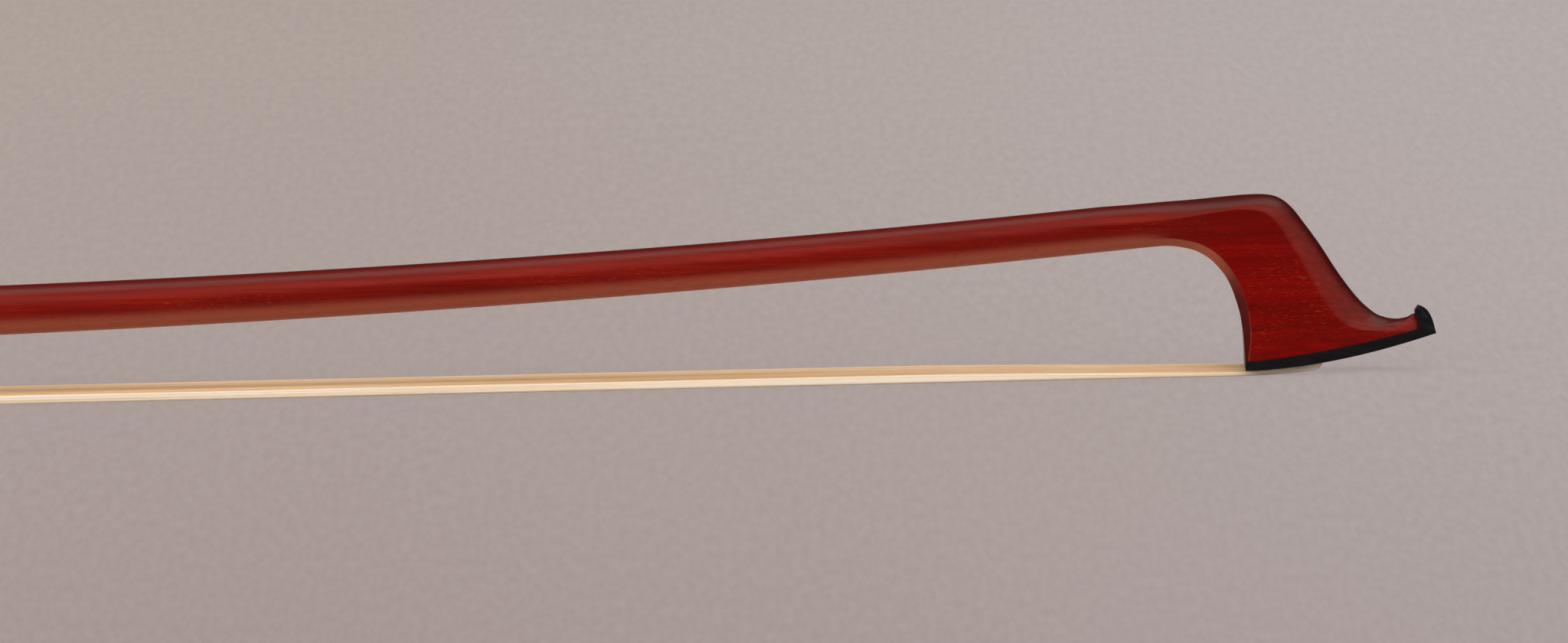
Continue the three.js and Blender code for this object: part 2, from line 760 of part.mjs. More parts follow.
// The D of the ferrule, or of what fits in it, drawn in from its outside by an inset.
function archOutline(inset, floor) {
  const half = ferruleWidth / 2 - inset;
  const rise = ferruleHeight - ferruleSide - inset;
  const outline = [[half, floor]];
  for (let k = 0; k <= archSteps; k++) {
    const turn = (k / archSteps) * Math.PI;
    outline.push([half * Math.cos(turn), ferruleSide + rise * Math.sin(turn)]);
  }
  outline.push([-half, floor]);
  return outline;
}

function ferrule() {
  const inner = archOutline(ferruleWall, ferruleWall);
  return bar(archOutline(0, 0), -ferruleLength, 0, [inner.reverse()]);
}

// Where the hair runs in the frog
const rampFront = wedgeLength + tongueSetback;
const hairLevel = pearlThickness + slideThickness + 2 * seat;
const hairFrogHalf = hairFrogThickness / 2;

function frogBend() {
  const low = ferruleWall + seat + hairFrogHalf;
  const high = hairLevel + seat + hairFrogHalf;
  const narrow = frogMortiseWidth / 2 - seat;
  const wallX = -frogMortiseRear + seat + hairFrogHalf;
  const bendX = wallX + hairBendRadius;
  const path = [
    [-seat, low, hairFrogWidth / 2, hairFrogHalf],
    [-rampFront, low, hairFrogWidth / 2 - seat, hairFrogHalf],
    [-ferruleLength + seat, high, slideWidth / 2, hairFrogHalf],
    [-frogMortiseFront, high, narrow, hairFrogHalf],
  ];
  for (let k = 0; k <= bendSteps; k++) {
    const turn = (k / bendSteps) * (Math.PI / 2);
    const x = bendX - hairBendRadius * Math.sin(turn);
    const z = high + hairBendRadius * (1 - Math.cos(turn));
    path.push([x, z, narrow, hairFrogHalf]);
  }
  path.push([wallX, frogMortiseTop - frogKnotDiameter - 3 * seat, narrow, hairFrogHalf]);
  return ribbon(path);
}

function frogKnot() {
  const x = -frogMortiseRear + frogKnotDiameter / 2 + seat;
  const z = frogMortiseTop - frogKnotDiameter / 2 - seat;
  return knot(frogKnotDiameter, frogMortiseWidth - 2 * seat).translate(x, 0, z);
}

function frogPlug() {
  const front = -frogMortiseFront - seat;
  const rear = -frogMortiseRear + hairFrogThickness + 3 * seat;
  const bottom = hairLevel + hairFrogThickness + 3 * seat;
  const top = frogMortiseTop - frogKnotDiameter - 2 * seat;
  const outline = [
    [front, bottom],
    [front, top],
    [rear, top],
    [rear, bottom + plugRounding],
    [rear + plugRounding / 4, bottom + plugRounding / 3],
    [rear + plugRounding, bottom],
  ];
  return slab(outline, frogMortiseWidth / 2 - seat);
}

function spreadWedge() {
  const thin = wedgeThickness / 2;
  const top = tongueUnderside - seat;
  const outline = [
    [-tongueSetback, top],
    [-tongueSetback, top - wedgeThickness],
    [-rampFront + seat, top - wedgeThickness],
    [-rampFront - thin, top - thin],
    [-rampFront - thin, top],
  ];
  return slab(outline, hairFrogWidth / 2);
}

// A strip of the slide, between two levels.
function slideStrip(from, to) {
  return box(-slideRear + seat, -ferruleLength - seat, slideWidth / 2, from, to);
}

// The plate round the heel, as an outline in X and Z grown by a gap. A cutting tool's outline also
// passes the frog's outside.
function heelOutline(gap, outside) {
  const thick = heelThickness + gap;
  const front = -slideRear - seat + gap;
  return [
    [-frogLength - outside, -outside],
    [front, -outside],
    [front, thick],
    [-frogLength + thick, thick],
    [-frogLength + thick, heelHeight + gap],
    [-frogLength - outside, heelHeight + gap],
  ];
}

// Pins through the heel plate: two up through its foot, two in from behind.
function heelPins(diameter, outside) {
  const pins = [];
  const footPlace = -(slideRear + frogLength) / 2;
  for (const side of [1, -1]) {
    const pin = rodZ(diameter, -outside, pinLength, pinSides);
    pins.push(pin.translate(footPlace, side * footPinShare * frogWidth, 0));
  }
  for (const share of backPinShares) {
    const pin = rodX(diameter, -frogLength - outside, -frogLength + pinLength, pinSides);
    pins.push(pin.translate(0, 0, share * heelHeight));
  }
  return pins;
}

function heelPlate() {
  const blank = common(frogBlank(), slab(heelOutline(0, 0), frogWidth));
  return cut(blank, heelPins(pinDiameter + 2 * seat, overrun));
}

// The octagon round the handle, grown by a gap, as an outline in Y and Z.
function octagon(across, gap) {
  const corner = (across / 2 + gap) / Math.cos(Math.PI / 8);
  const outline = [];
  for (let k = 0; k < 8; k++) {
    const turn = ((k + 0.5) * Math.PI) / 4;
    outline.push([corner * Math.cos(turn), corner * Math.sin(turn)]);
  }
  return outline;
}

// Pins through the underslide, near its ends, in the handle's own frame.
function underslidePins(diameter) {
  const top = -handleDiameter / 2 - running - seat;
  return underslidePinShares.map((share) =>
    rodZ(diameter, top - pinLength, top, pinSides).translate(-share * frogLength, 0, 0),
  );
}

function eyeletPost(diameter) {
  const top = -handleDiameter / 2;
  return rodZ(diameter, top - postLength, top).translate(-eyeletDistance, 0, 0);
}

function underslide() {
  const outside = octagon(handleDiameter, running + underslideThickness);
  const inside = octagon(handleDiameter, running);
  const rear = -(frogLength - 2 * seat);
  const front = -(tipShare * frogLength + underslideSetback);
  const tube = bar(outside, rear, front, [inside.reverse()]);
  const rim = -cheekDrop - running;
  const above = box(rear - overrun, front + overrun, handleDiameter, rim, handleDiameter);
  const holes = [eyeletPost(postDiameter + 2 * seat), ...underslidePins(pinDiameter + 2 * seat)];
  for (const hole of holes) hole.translate(0, 0, overrun / 2);
  return cut(tube, [above, ...holes]);
}

function eyelet() {
  const half = eyeletWidth / 2;
  const bottom = -handleDiameter / 2 - running / 2;
  const outline = [[-half, bottom], [half, bottom]];
  for (let k = 0; k <= 8; k++) {
    const turn = (k / 8) * Math.PI;
    outline.push([half * Math.cos(turn), eyeletCrown - half + half * Math.sin(turn)]);
  }
  const front = -eyeletDistance + eyeletLength / 2;
  const block = bar(outline, front - eyeletLength, front);
  const bore = rodX(screwDiameter + running, front - eyeletLength - overrun, front + overrun);
  return cut(join([block, eyeletPost(postDiameter)]), [bore]);
}

// A round piece in the frog's cheek, on one side, sunk by a depth and standing out by an outside.
function eyeDisc(side, diameter, depth, outside) {
  const cheek = frogHalfWidth(eyeHeight / frogTop(-eyeDistance));
  const [inner, outer] = [side * (cheek - depth), side * (cheek + outside)];
  const disc = rodY(diameter, Math.min(inner, outer), Math.max(inner, outer), ringSides);
  return disc.translate(-eyeDistance, 0, eyeHeight);
}

function eyeRing(side) {
  const hole = eyeDisc(side, eyePearlDiameter + 2 * seat, eyeDepth + overrun, overrun);
  return cut(eyeDisc(side, eyeDiameter, eyeDepth, 0), [hole]);
}

// The way that the hair takes through the frog, as an outline from the tongue back to a place.
function hairWay(rear) {
  const top = hairLevel + hairFrogThickness + 2 * seat;
  return [
    [overrun, -overrun],
    [overrun, tongueUnderside],
    [-rampFront - wedgeThickness, tongueUnderside],
    [-ferruleLength + seat, top],
    [rear, top],
    [rear, -overrun],
  ];
}

function frogBody() {
  const tongueOutline = archOutline(ferruleWall + seat, ferruleWall);
  const tongue = bar(tongueOutline, -ferruleLength - overrun, -tongueSetback);
  const slideHalf = slideWidth / 2 + seat;
  const tools = [
    slab(hairWay(-ferruleLength), ferruleWidth),
    slab(hairWay(-frogMortiseRear), slideHalf),
    box(-slideRear, overrun, slideHalf, -overrun, hairLevel),
    box(-frogMortiseRear, -frogMortiseFront, frogMortiseWidth / 2, -overrun, frogMortiseTop),
    slab(heelOutline(seat, overrun), ferruleWidth),
    ...heelPins(pinDiameter + 2 * seat, overrun),
    ...[1, -1].map((side) => eyeDisc(side, eyeDiameter + 2 * seat, eyeDepth + seat, overrun)),
  ];
  const toFrog = frogFrame.clone().invert().multiply(handleFrame);
  const channel = octagon(handleDiameter, running + underslideThickness + seat);
  const sunk = [eyeletPost(postDiameter + 2 * seat), ...underslidePins(pinDiameter + 2 * seat)];
  for (const hole of sunk) hole.translate(0, 0, -seat);
  for (const tool of [bar(channel, -frogLength - overrun, overrun), ...sunk]) {
    tools.push(tool.applyMatrix4(toFrog));
  }
  return cut(join([frogBlank(), tongue]), tools);
}

// The screw and the button, in the handle's own frame

function turnedOctagon(rows) {
  const rings = rows.map(([x, across]) =>
    octagon(across, 0).map(([y, z]) => new THREE.Vector3(x, y, z)),
  );
  return loft(rings);
}

const buttonFront = -(frogLength + restGap + seat);
const collarRear = buttonFront - collarLength;
const coreRear = buttonFront - buttonLength + collarLength;
const buttonRear = buttonFront - buttonLength;

// Pins through the collars into the core, each across one flat.
const collarPins = [
  { name: "front_collar_pin_top", place: (buttonFront + collarRear) / 2, side: 1 },
  { name: "front_collar_pin_bottom", place: (buttonFront + collarRear) / 2, side: -1 },
  { name: "end_collar_pin_top", place: coreRear - collarLength / 3, side: 1 },
  { name: "end_collar_pin_bottom", place: coreRear - collarLength / 3, side: -1 },
];

function collarPin({ place, side }, diameter, outside) {
  const flat = buttonAcross / 2;
  const rod = rodZ(diameter, flat - collarPinDepth, flat + outside, pinSides);
  return rod.rotateX(side > 0 ? 0 : Math.PI).translate(place, 0, 0);
}

function collarPinHoles() {
  return collarPins.map((pin) => collarPin(pin, collarPinDiameter + 2 * seat, overrun));
}

function buttonCollar(front, rear) {
  const edge = buttonAcross - 2 * collarEdge;
  const blank = turnedOctagon([
    [front, edge],
    [front - collarEdge, buttonAcross],
    [rear + collarEdge, buttonAcross],
    [rear, edge],
  ]);
  const bore = rodX(collarBore, rear - overrun, front + overrun);
  return cut(blank, [bore, ...collarPinHoles()]);
}

function buttonCore() {
  const waist = buttonAcross - 2 * buttonWaist;
  const body = turnedOctagon([
    [collarRear - seat, waist],
    [coreRear + seat, waist],
  ]);
  const spigotFront = buttonFront - collarLength + spigotLength;
  const spigotRear = coreRear - spigotLength;
  const spigot = rodX(collarBore - 2 * seat, spigotRear, spigotFront);
  const nippleHole = rodX(
    nippleDiameter + 2 * running,
    buttonFront - nippleLength - seat,
    buttonFront + overrun,
  );
  const screwHole = rodX(screwDiameter + 2 * seat, coreRear, buttonFront + overrun);
  return cut(join([body, spigot]), [nippleHole, screwHole, ...collarPinHoles()]);
}

function adjustingScrew() {
  return rodX(screwDiameter, coreRear + seat, slotFront + screwNose);
}

function buttonPearl() {
  return rodX(collarBore - 2 * seat, buttonRear + seat, coreRear - spigotLength - seat);
}

// Sleeves round the handle

function sleeve(stations, gap) {
  const outer = stations.map(([place, thickness]) => handleRing(place, gap + thickness));
  const places = stations.map(([place]) => place);
  const inner = [places[0] - overrun, ...places.slice(1, -1), places.at(-1) + overrun];
  return cut(loft(outer), [loft(inner.map((place) => handleRing(place, gap)))]);
}

function thumbLeather() {
  const end = leatherStart + leatherLength;
  const edge = leatherThickness * leatherEndShare;
  return sleeve(
    [
      [leatherStart, edge],
      [leatherStart + leatherThickness, leatherThickness],
      ...roundingPlaces.slice(1).map((place) => [place, leatherThickness]),
      [end - leatherThickness, leatherThickness],
      [end, edge],
    ],
    seat,
  );
}

const lappingStart = leatherStart + leatherLength + lappingGap;

function lappingBase() {
  const places = [0, 0.5, 1].map((share) => lappingStart + share * lappingLength);
  return sleeve(places.map((place) => [place, silkThickness]), seat);
}

// The tinsel's path: one open helix that follows the stick's taper.
class TinselPath extends THREE.Curve {
  getPoint(t, target = new THREE.Vector3()) {
    const from = lappingStart + tinselDiameter;
    const to = lappingStart + lappingLength - tinselDiameter;
    const x = lerp(from, to, t);
    const wood = shaftRadius(distanceOf(x), 0);
    const radius = wood + silkThickness + 2 * seat + tinselDiameter / 2;
    const turn = 2 * Math.PI * tinselLoops * t;
    return target.set(x, radius * Math.sin(turn), radius * Math.cos(turn));
  }
}

function lappingTinsel() {
  const outline = [];
  for (let k = 0; k < tinselSides; k++) {
    const turn = (2 * Math.PI * k) / tinselSides;
    const radius = tinselDiameter / 2;
    outline.push(new THREE.Vector2(radius * Math.cos(turn), radius * Math.sin(turn)));
  }
  return new THREE.ExtrudeGeometry(new THREE.Shape(outline), {
    steps: tinselLoops * loopSteps,
    extrudePath: new TinselPath(),
  });
}

// The least gap between one turn of the tinsel and the next.
function tinselGap() {
  const points = new TinselPath().getPoints(tinselLoops * loopSteps);
  let least = Infinity;
  for (let i = 0; i < points.length; i++) {
    for (let j = i + loopSteps / 2; j < points.length; j++) {
      least = Math.min(least, points[i].distanceTo(points[j]) - tinselDiameter);
    }
  }
  return least;
}

// Finishes

function finish(color, roughness, metalness = 0) {
  return new THREE.MeshStandardMaterial({ color, roughness, metalness });
}

const redWood = finish(0x7a1d14, 0.32);
const ebony = finish(0x17130f, 0.42);
const silver = finish(0xc9c7c1, 0.28, 1);
const pearl = finish(0xe6e8e3, 0.2);
const whiteHair = finish(0xe6d3ae, 0.55);
const paleWood = finish(0xc9a878, 0.7);
const brass = finish(0xb99445, 0.4, 1);
const steel = finish(0x8c9094, 0.35, 1);
const leather = finish(0x241a14, 0.65);
const silk = finish(0x5a1822, 0.6);

// Assembly

const bow = new THREE.Group();

function add(group, name, geometry, material) {
  const mesh = new THREE.Mesh(geometry, material);
  mesh.name = name;
  group.add(mesh);
}

function placed(frame) {
  const group = new THREE.Group();
  group.applyMatrix4(frame);
  bow.add(group);
  return group;
}

const head = placed(headFrame);
const frog = placed(frogFrame);
const handle = placed(handleFrame);

add(bow, "stick", stick(), redWood);
add(bow, "thumb_leather", thumbLeather(), leather);
add(bow, "lapping_base", lappingBase(), silk);
add(handle, "lapping_tinsel", lappingTinsel(), silver);
add(bow, "hair", hair(), whiteHair);

add(head, "head_plate", headPlate(), ebony);
add(head, "head_plug", headPlug(), paleWood);
add(head, "hair_head_knot", headKnot(), whiteHair);
add(head, "hair_head_bend", headBend(), whiteHair);

add(frog, "frog_body", frogBody(), ebony);
add(frog, "ferrule", ferrule(), silver);
add(frog, "spread_wedge", spreadWedge(), paleWood);
add(frog, "frog_plug", frogPlug(), paleWood);
add(frog, "hair_frog_knot", frogKnot(), whiteHair);
add(frog, "hair_frog_bend", frogBend(), whiteHair);
add(frog, "slide_pearl", slideStrip(0, pearlThickness), pearl);
add(frog, "slide_base", slideStrip(hairLevel - seat - slideThickness, hairLevel - seat), ebony);
add(frog, "heel_plate", heelPlate(), silver);
heelPins(pinDiameter, 0).forEach((pin, k) => add(frog, "heel_pin_" + (k + 1), pin, silver));
for (const [side, name] of [[1, "left"], [-1, "right"]]) {
  add(frog, "eye_ring_" + name, eyeRing(side), silver);
  add(frog, "eye_pearl_" + name, eyeDisc(side, eyePearlDiameter, eyeDepth, 0), pearl);
}

add(handle, "underslide", underslide(), silver);
underslidePins(pinDiameter).forEach((pin, k) => {
  add(handle, "underslide_pin_" + (k + 1), pin, silver);
});
add(handle, "eyelet", eyelet(), brass);
add(handle, "adjusting_screw", adjustingScrew(), steel);
add(handle, "button_core", buttonCore(), ebony);
add(handle, "button_front_collar", buttonCollar(buttonFront, collarRear), silver);
add(handle, "button_end_collar", buttonCollar(coreRear, buttonRear), silver);
for (const pin of collarPins) add(handle, pin.name, collarPin(pin, collarPinDiameter, 0), silver);
add(handle, "button_pearl", buttonPearl(), pearl);

console.log("least gap between the tinsel's turns: " + tinselGap().toFixed(2) + " mm");

export default bow;
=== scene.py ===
"""The look of a cello bow: stick and head, face plate, hair, frog, button, grip and finishes.

Shapes are worked out in millimetres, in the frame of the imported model, and made in metres.
"""

import math
import random

import bmesh
import bpy
from mathutils import Matrix, Vector


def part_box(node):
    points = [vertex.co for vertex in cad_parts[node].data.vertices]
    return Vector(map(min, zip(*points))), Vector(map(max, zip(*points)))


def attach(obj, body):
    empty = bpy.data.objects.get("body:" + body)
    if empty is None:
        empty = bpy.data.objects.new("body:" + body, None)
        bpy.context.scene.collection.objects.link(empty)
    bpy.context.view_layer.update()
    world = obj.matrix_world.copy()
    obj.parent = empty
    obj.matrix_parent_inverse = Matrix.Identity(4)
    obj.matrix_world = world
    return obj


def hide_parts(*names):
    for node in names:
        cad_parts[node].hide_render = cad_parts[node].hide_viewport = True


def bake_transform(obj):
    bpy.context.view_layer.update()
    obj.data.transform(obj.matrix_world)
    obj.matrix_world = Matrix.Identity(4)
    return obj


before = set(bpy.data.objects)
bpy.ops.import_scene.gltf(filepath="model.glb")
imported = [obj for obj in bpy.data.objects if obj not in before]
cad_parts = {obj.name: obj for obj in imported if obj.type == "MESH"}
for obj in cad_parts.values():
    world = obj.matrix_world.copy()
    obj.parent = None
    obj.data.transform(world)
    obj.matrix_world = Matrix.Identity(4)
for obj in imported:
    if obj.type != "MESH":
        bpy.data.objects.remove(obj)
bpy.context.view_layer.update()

MM = 0.001


def span(node):
    """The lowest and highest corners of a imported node, in millimetres."""
    low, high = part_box(node)
    return low / MM, high / MM


def add_object(name, data):
    made = bpy.data.objects.new(name, data)
    bpy.context.scene.collection.objects.link(made)
    return made


# Camera

PHOTO_WIDTH = 2048
PHOTO_HEIGHT = 840
PIXEL = 0.11 * MM  # of the photograph, at the bow: a scale chosen from an assumed height of the head
CORNER_PIXEL = (1627, 484.9)  # the face plate's near rear corner in the photograph
ELEVATION = math.radians(7)
ROLL = math.radians(1.29)
CAMERA_DISTANCE = 3.0
SENSOR_WIDTH = 36  # in millimetres, as Blender takes it
FAR_CLIP = 100

plate_low = span("head_plate")[0]
HEAD_X = plate_low.x
MOUTH_X = span("ferrule")[1].x


def place_camera():
    """Looks along +Y from a little above, with the head at the right as in the photograph."""
    along = Vector((1, 0, 0))
    rise = Vector((0, math.sin(ELEVATION), math.cos(ELEVATION)))
    back = Vector((0, -math.cos(ELEVATION), math.sin(ELEVATION)))
    right = along * math.cos(ROLL) - rise * math.sin(ROLL)
    up = along * math.sin(ROLL) + rise * math.cos(ROLL)
    aside = (CORNER_PIXEL[0] - PHOTO_WIDTH / 2) * PIXEL
    below = (CORNER_PIXEL[1] - PHOTO_HEIGHT / 2) * PIXEL
    target = plate_low * MM - right * aside + up * below
    data = bpy.data.cameras.new("camera")
    data.sensor_width = SENSOR_WIDTH
    data.lens = SENSOR_WIDTH * CAMERA_DISTANCE / (PHOTO_WIDTH * PIXEL)
    data.clip_end = FAR_CLIP
    camera = add_object("camera", data)
    turn = Matrix((right, up, back)).transposed().to_4x4()
    camera.matrix_world = Matrix.Translation(target + back * CAMERA_DISTANCE) @ turn
    bpy.context.scene.camera = camera


place_camera()

# Mesh helpers


def lerp(a, b, t):
    return a + (b - a) * t


def clamp(value, low=0.0, high=1.0):
    return max(low, min(high, value))


def smooth(t):
    t = clamp(t)
    return t * t * (3 - 2 * t)


def make_piece(name, points, faces, crease=None):
    """A mesh object from points in millimetres. Edges sharper than crease stay sharp."""
    mesh = bpy.data.meshes.new(name)
    mesh.from_pydata([Vector(p) * MM for p in points], [], faces)
    tidy = bmesh.new()
    tidy.from_mesh(mesh)
    bmesh.ops.recalc_face_normals(tidy, faces=tidy.faces)
    tidy.to_mesh(mesh)
    tidy.free()
    piece = add_object(name, mesh)
    shade(piece, crease)
    return piece


def shade(piece, crease):
    piece.data.shade_smooth()
    if crease is not None:
        piece.data.set_sharp_from_angle(angle=math.radians(crease))


def skin(rings, closed=True, offset=0):
    """Points and faces of a closed skin over rings with the same number of points."""
    count = len(rings[0])
    points = [p for ring in rings for p in ring]
    faces = []
    for start in range(0, (len(rings) - 1) * count, count):
        for k in range(count):
            after = (k + 1) % count
            faces.append(
                [offset + i for i in (start + k, start + after, start + count + after, start + count + k)]
            )
    if closed:
        faces.append([offset + k for k in range(count)])
        last = (len(rings) - 1) * count
        faces.append([offset + last + k for k in reversed(range(count))])
    return points, faces


def skinned(name, rings, crease=None):
    points, faces = skin(rings)
    return make_piece(name, points, faces, crease)


def combine(piece, others, operation):
    """Cuts closed shapes out of a piece, or joins them to it, and removes them."""
    for other in others:
        change = piece.modifiers.new("change", "BOOLEAN")
        change.operation = operation
        change.solver = "EXACT"
        change.object = other
    bpy.context.view_layer.update()
    result = piece.evaluated_get(bpy.context.evaluated_depsgraph_get())
    mesh = bpy.data.meshes.new_from_object(result)
    piece.modifiers.clear()
    piece.data = mesh
    for other in others:
        bpy.data.objects.remove(other)


def carve(piece, cutters, crease):
    combine(piece, cutters, "DIFFERENCE")
    shade(piece, crease)


def circle(middle, aside, out, radius, sides):
    """A ring of points round a middle, in the plane of two directions."""
    ring = []
    for k in range(sides):
        angle = 2 * math.pi * k / sides
        ring.append(middle + aside * (radius * math.cos(angle)) + out * (radius * math.sin(angle)))
    return ring


def prism(name, outline, half_width):
    """A closed outline in X and Z, swept across the bow by a half width to each side."""
    rings = [[Vector((x, side * half_width, z)) for x, z in outline] for side in (-1, 1)]
    return skinned(name, rings)


# The stick's lines

NECK_DISTANCE = 20  # behind the plate's rear corner, where the shaft meets the head
STRAIGHT_DISTANCE = 500  # behind that corner, where the camber ends
NECK_AXIS_HEIGHT = 21.2
HANDLE_AXIS_HEIGHT = 19.7
NECK_SLOPE = -0.084
HANDLE_SLOPE = 0.05
NECK_DIAMETER = 6.5
HANDLE_DIAMETER = 10.4
TAPER_LENGTH = 520
TAPER_POWER = 1.55
ROUNDING_LENGTH = 26
ROUNDING_START = -2.72  # along the handle, just behind the leather
FREE_HAIR = HEAD_X - MOUTH_X
HANDLE_TILT = math.atan(HANDLE_SLOPE)
HANDLE_END = 55  # behind the ferrule's mouth
OCTAGON_EDGE = 1.074  # how far the handle's edges reach, as a share of its flats; 1.082 is sharp
RING_SIDES = 96


def axis_height(distance):
    if distance >= STRAIGHT_DISTANCE:
        return HANDLE_AXIS_HEIGHT + HANDLE_SLOPE * (distance - STRAIGHT_DISTANCE)
    length = STRAIGHT_DISTANCE - NECK_DISTANCE
    t = (distance - NECK_DISTANCE) / length
    neck = 2 * t**3 - 3 * t**2 + 1
    neck_rise = t**3 - 2 * t**2 + t
    handle_rise = t**3 - t**2
    return (
        neck * NECK_AXIS_HEIGHT
        + neck_rise * length * NECK_SLOPE
        + (1 - neck) * HANDLE_AXIS_HEIGHT
        + handle_rise * length * HANDLE_SLOPE
    )


def axis_slope(distance, step=0.5):
    return (axis_height(distance + step) - axis_height(distance - step)) / (2 * step)


def distance_of(place):
    """The distance behind the plate's rear corner of a place along the handle."""
    return FREE_HAIR - place * math.cos(HANDLE_TILT)


def octagon_share(distance):
    round_end = distance_of(ROUNDING_START + ROUNDING_LENGTH)
    return smooth((distance - round_end) / (distance_of(ROUNDING_START) - round_end))


def shaft_radius(distance, angle):
    share = clamp((distance - NECK_DISTANCE) / TAPER_LENGTH)
    radius = lerp(NECK_DIAMETER, HANDLE_DIAMETER, share**TAPER_POWER) / 2
    from_flat = angle - round(angle / (math.pi / 4)) * (math.pi / 4)
    edge = min(1 / math.cos(from_flat), OCTAGON_EDGE)
    return radius * lerp(1, edge, octagon_share(distance))


def shaft_ring(distance, outside=0.0, sides=RING_SIDES):
    """A section of the stick, or of a sleeve round it, starting under the axis."""
    up = Vector((axis_slope(distance), 0, 1)).normalized()
    middle = Vector((HEAD_X - distance, 0, axis_height(distance)))
    ring = []
    for k in range(sides):
        angle = 2 * math.pi * k / sides - math.pi / 2
        radius = shaft_radius(distance, angle) + outside
        point = middle + up * (radius * math.sin(angle))
        point.y = radius * math.cos(angle)
        ring.append(point)
    return ring


def handle_ring(place, outside=0.0, sides=RING_SIDES):
    return shaft_ring(distance_of(place), outside, sides)


# The head's lines

FACE_LENGTH = 27.6
HEAD_HEIGHT = 24.9
FACE_REAR_WIDTH = 11.5
NOSE_WIDTH = 2.5
FACE_RISE = 4.3
PLATE_THICKNESS = 1.4
PLATE_FULLNESS = 0.16  # by which the plate is thicker along its middle, on each face
PLATE_STANDOFF = plate_low.z
CHEEK_TOP_WIDTH = 6.3
FLARE_HEIGHT = 19
THROAT_CHAMFER = 1.35
THROAT_INSET = 1.7
RIDGE_BEVEL = 5
PLAN_POWER = 1.3
FACE_POWER = 1.7
FLARE_POWER = 1.5
BEVEL_POWER = 1.5
CHAMFER_EDGE = 0.12  # rounding along the chamfer's two edges
SEAT = 0.12  # between seated pieces

# From the neck round to the face: throat point and ridge point, as shares of the face's length
# and the head's height, then shares of the chamfer and the bevel, the ridge's width as a share
# of the cheeks', and how much of the section is round.
HEAD_STATIONS = [
    (-0.572, 0.698, -0.567, 0.955, 1, 0.5, 0, 1),
    (-0.472, 0.709, -0.428, 0.966, 1, 0.5, 0, 0.6),
    (-0.376, 0.715, -0.248, 0.978, 1, 0.5, 0, 0.25),
    (-0.281, 0.699, -0.088, 0.992, 1, 0.5, 0, 0),
    (-0.226, 0.676, 0.032, 1, 1, 0.5, 0.02, 0),
    (-0.171, 0.637, 0.132, 0.997, 1, 0.55, 0.05, 0),
    (-0.127, 0.587, 0.199, 0.974, 1, 0.6, 0.08, 0),
    (-0.089, 0.53, 0.261, 0.918, 1, 0.65, 0.1, 0),
    (-0.062, 0.467, 0.327, 0.821, 1, 0.7, 0.12, 0),
    (-0.041, 0.399, 0.405, 0.696, 1, 0.74, 0.14, 0),
    (-0.02, 0.311, 0.501, 0.525, 0.95, 0.8, 0.16, 0),
    (-0.008, 0.218, 0.598, 0.379, 0.85, 0.92, 0.18, 0),
    (-0.004, 0.154, 0.68, 0.294, 0.7, 1.0, 0.22, 0),
    (-0.002, 0.1, 0.735, 0.2665, 0.5, 1.0, 0.2, 0),
    (0, 0.05, 0.78, 0.257, 0.3, 1.0, 0.2, 0),
    (0, 0.02, 0.815, 0.257, 0.2, 1.0, 0.2, 0),
    (0.3, -0.05, 0.855, 0.266, 0, 0.82, 0.22, 0),
    (0.5, -0.09, 0.892, 0.284, 0, 0.75, 0.25, 0),
    (0.62, -0.1, 0.93, 0.262, 0, 0.65, 0.3, 0),
    (0.7, -0.1, 0.95, 0.2, 0, 0.5, 0.5, 0),
]
# The nose's back from the wood up to the tip, then its front down to the corner, as shares of
# the face's length and the head's height.
NOSE_BACK = [(0.905, 0.232), (0.908, 0.25), (0.898, 0.273), (0.890, 0.295), (0.898, 0.313), (0.907, 0.326)]
NOSE_FRONT = [(0.914, 0.331), (0.932, 0.325), (0.957, 0.303), (0.977, 0.267), (0.991, 0.222), (1, 0.17)]
MORTISE = (4, 11.3)  # from the plate's rear corner
MORTISE_WIDTH = 6.2
MORTISE_DEPTH = 7.6
JOINT_GAP = 0.02  # between the wood and the plate, which are glued together


def face_line(x):
    return FACE_RISE * max(x / FACE_LENGTH, 0) ** FACE_POWER


def fullness(x):
    return PLATE_FULLNESS * math.sin(math.pi * clamp(x / FACE_LENGTH))


def face_bottom(x):
    return face_line(x) - fullness(x)


def face_top(x):
    return face_line(x) + fullness(x) + PLATE_THICKNESS


def face_half_width(x):
    return lerp(FACE_REAR_WIDTH, NOSE_WIDTH, clamp(x / FACE_LENGTH) ** PLAN_POWER) / 2


def cheek_half_width(x, z):
    face = face_half_width(x)
    top = min(CHEEK_TOP_WIDTH / 2, face)
    share = clamp(1 - (z - face_top(x)) / FLARE_HEIGHT)
    return lerp(top, face, share**FLARE_POWER)


def curve_point(rows, t):
    """A point on the smooth curve through rows, evenly shared out among them."""
    last = len(rows) - 1
    place = clamp(t) * last
    i = min(int(place), last - 1)
    w = place - i
    p0, p1, p2, p3 = (rows[clamp(i + k, 0, last)] for k in (-1, 0, 1, 2))
    found = []
    for a, b, c, d in zip(p0, p1, p2, p3):
        v0, v1 = (c - a) / 2, (d - b) / 2
        found.append(
            (2 * b - 2 * c + v0 + v1) * w**3 + (-3 * b + 3 * c - 2 * v0 - v1) * w**2 + v0 * w + b
        )
    return found


def edge_arc(corner, before, after, radius, steps=3):
    """Points round a corner of a section, on a short parabola."""
    start = corner + (before - corner).normalized() * min(radius, (before - corner).length / 2.2)
    end = corner + (after - corner).normalized() * min(radius, (after - corner).length / 2.2)
    arc = []
    for k in range(steps + 1):
        t = k / steps
        arc.append(start.lerp(corner, t).lerp(corner.lerp(end, t), t))
    return arc


def stretch(a, b, steps):
    return [a.lerp(b, k / steps) for k in range(steps)]


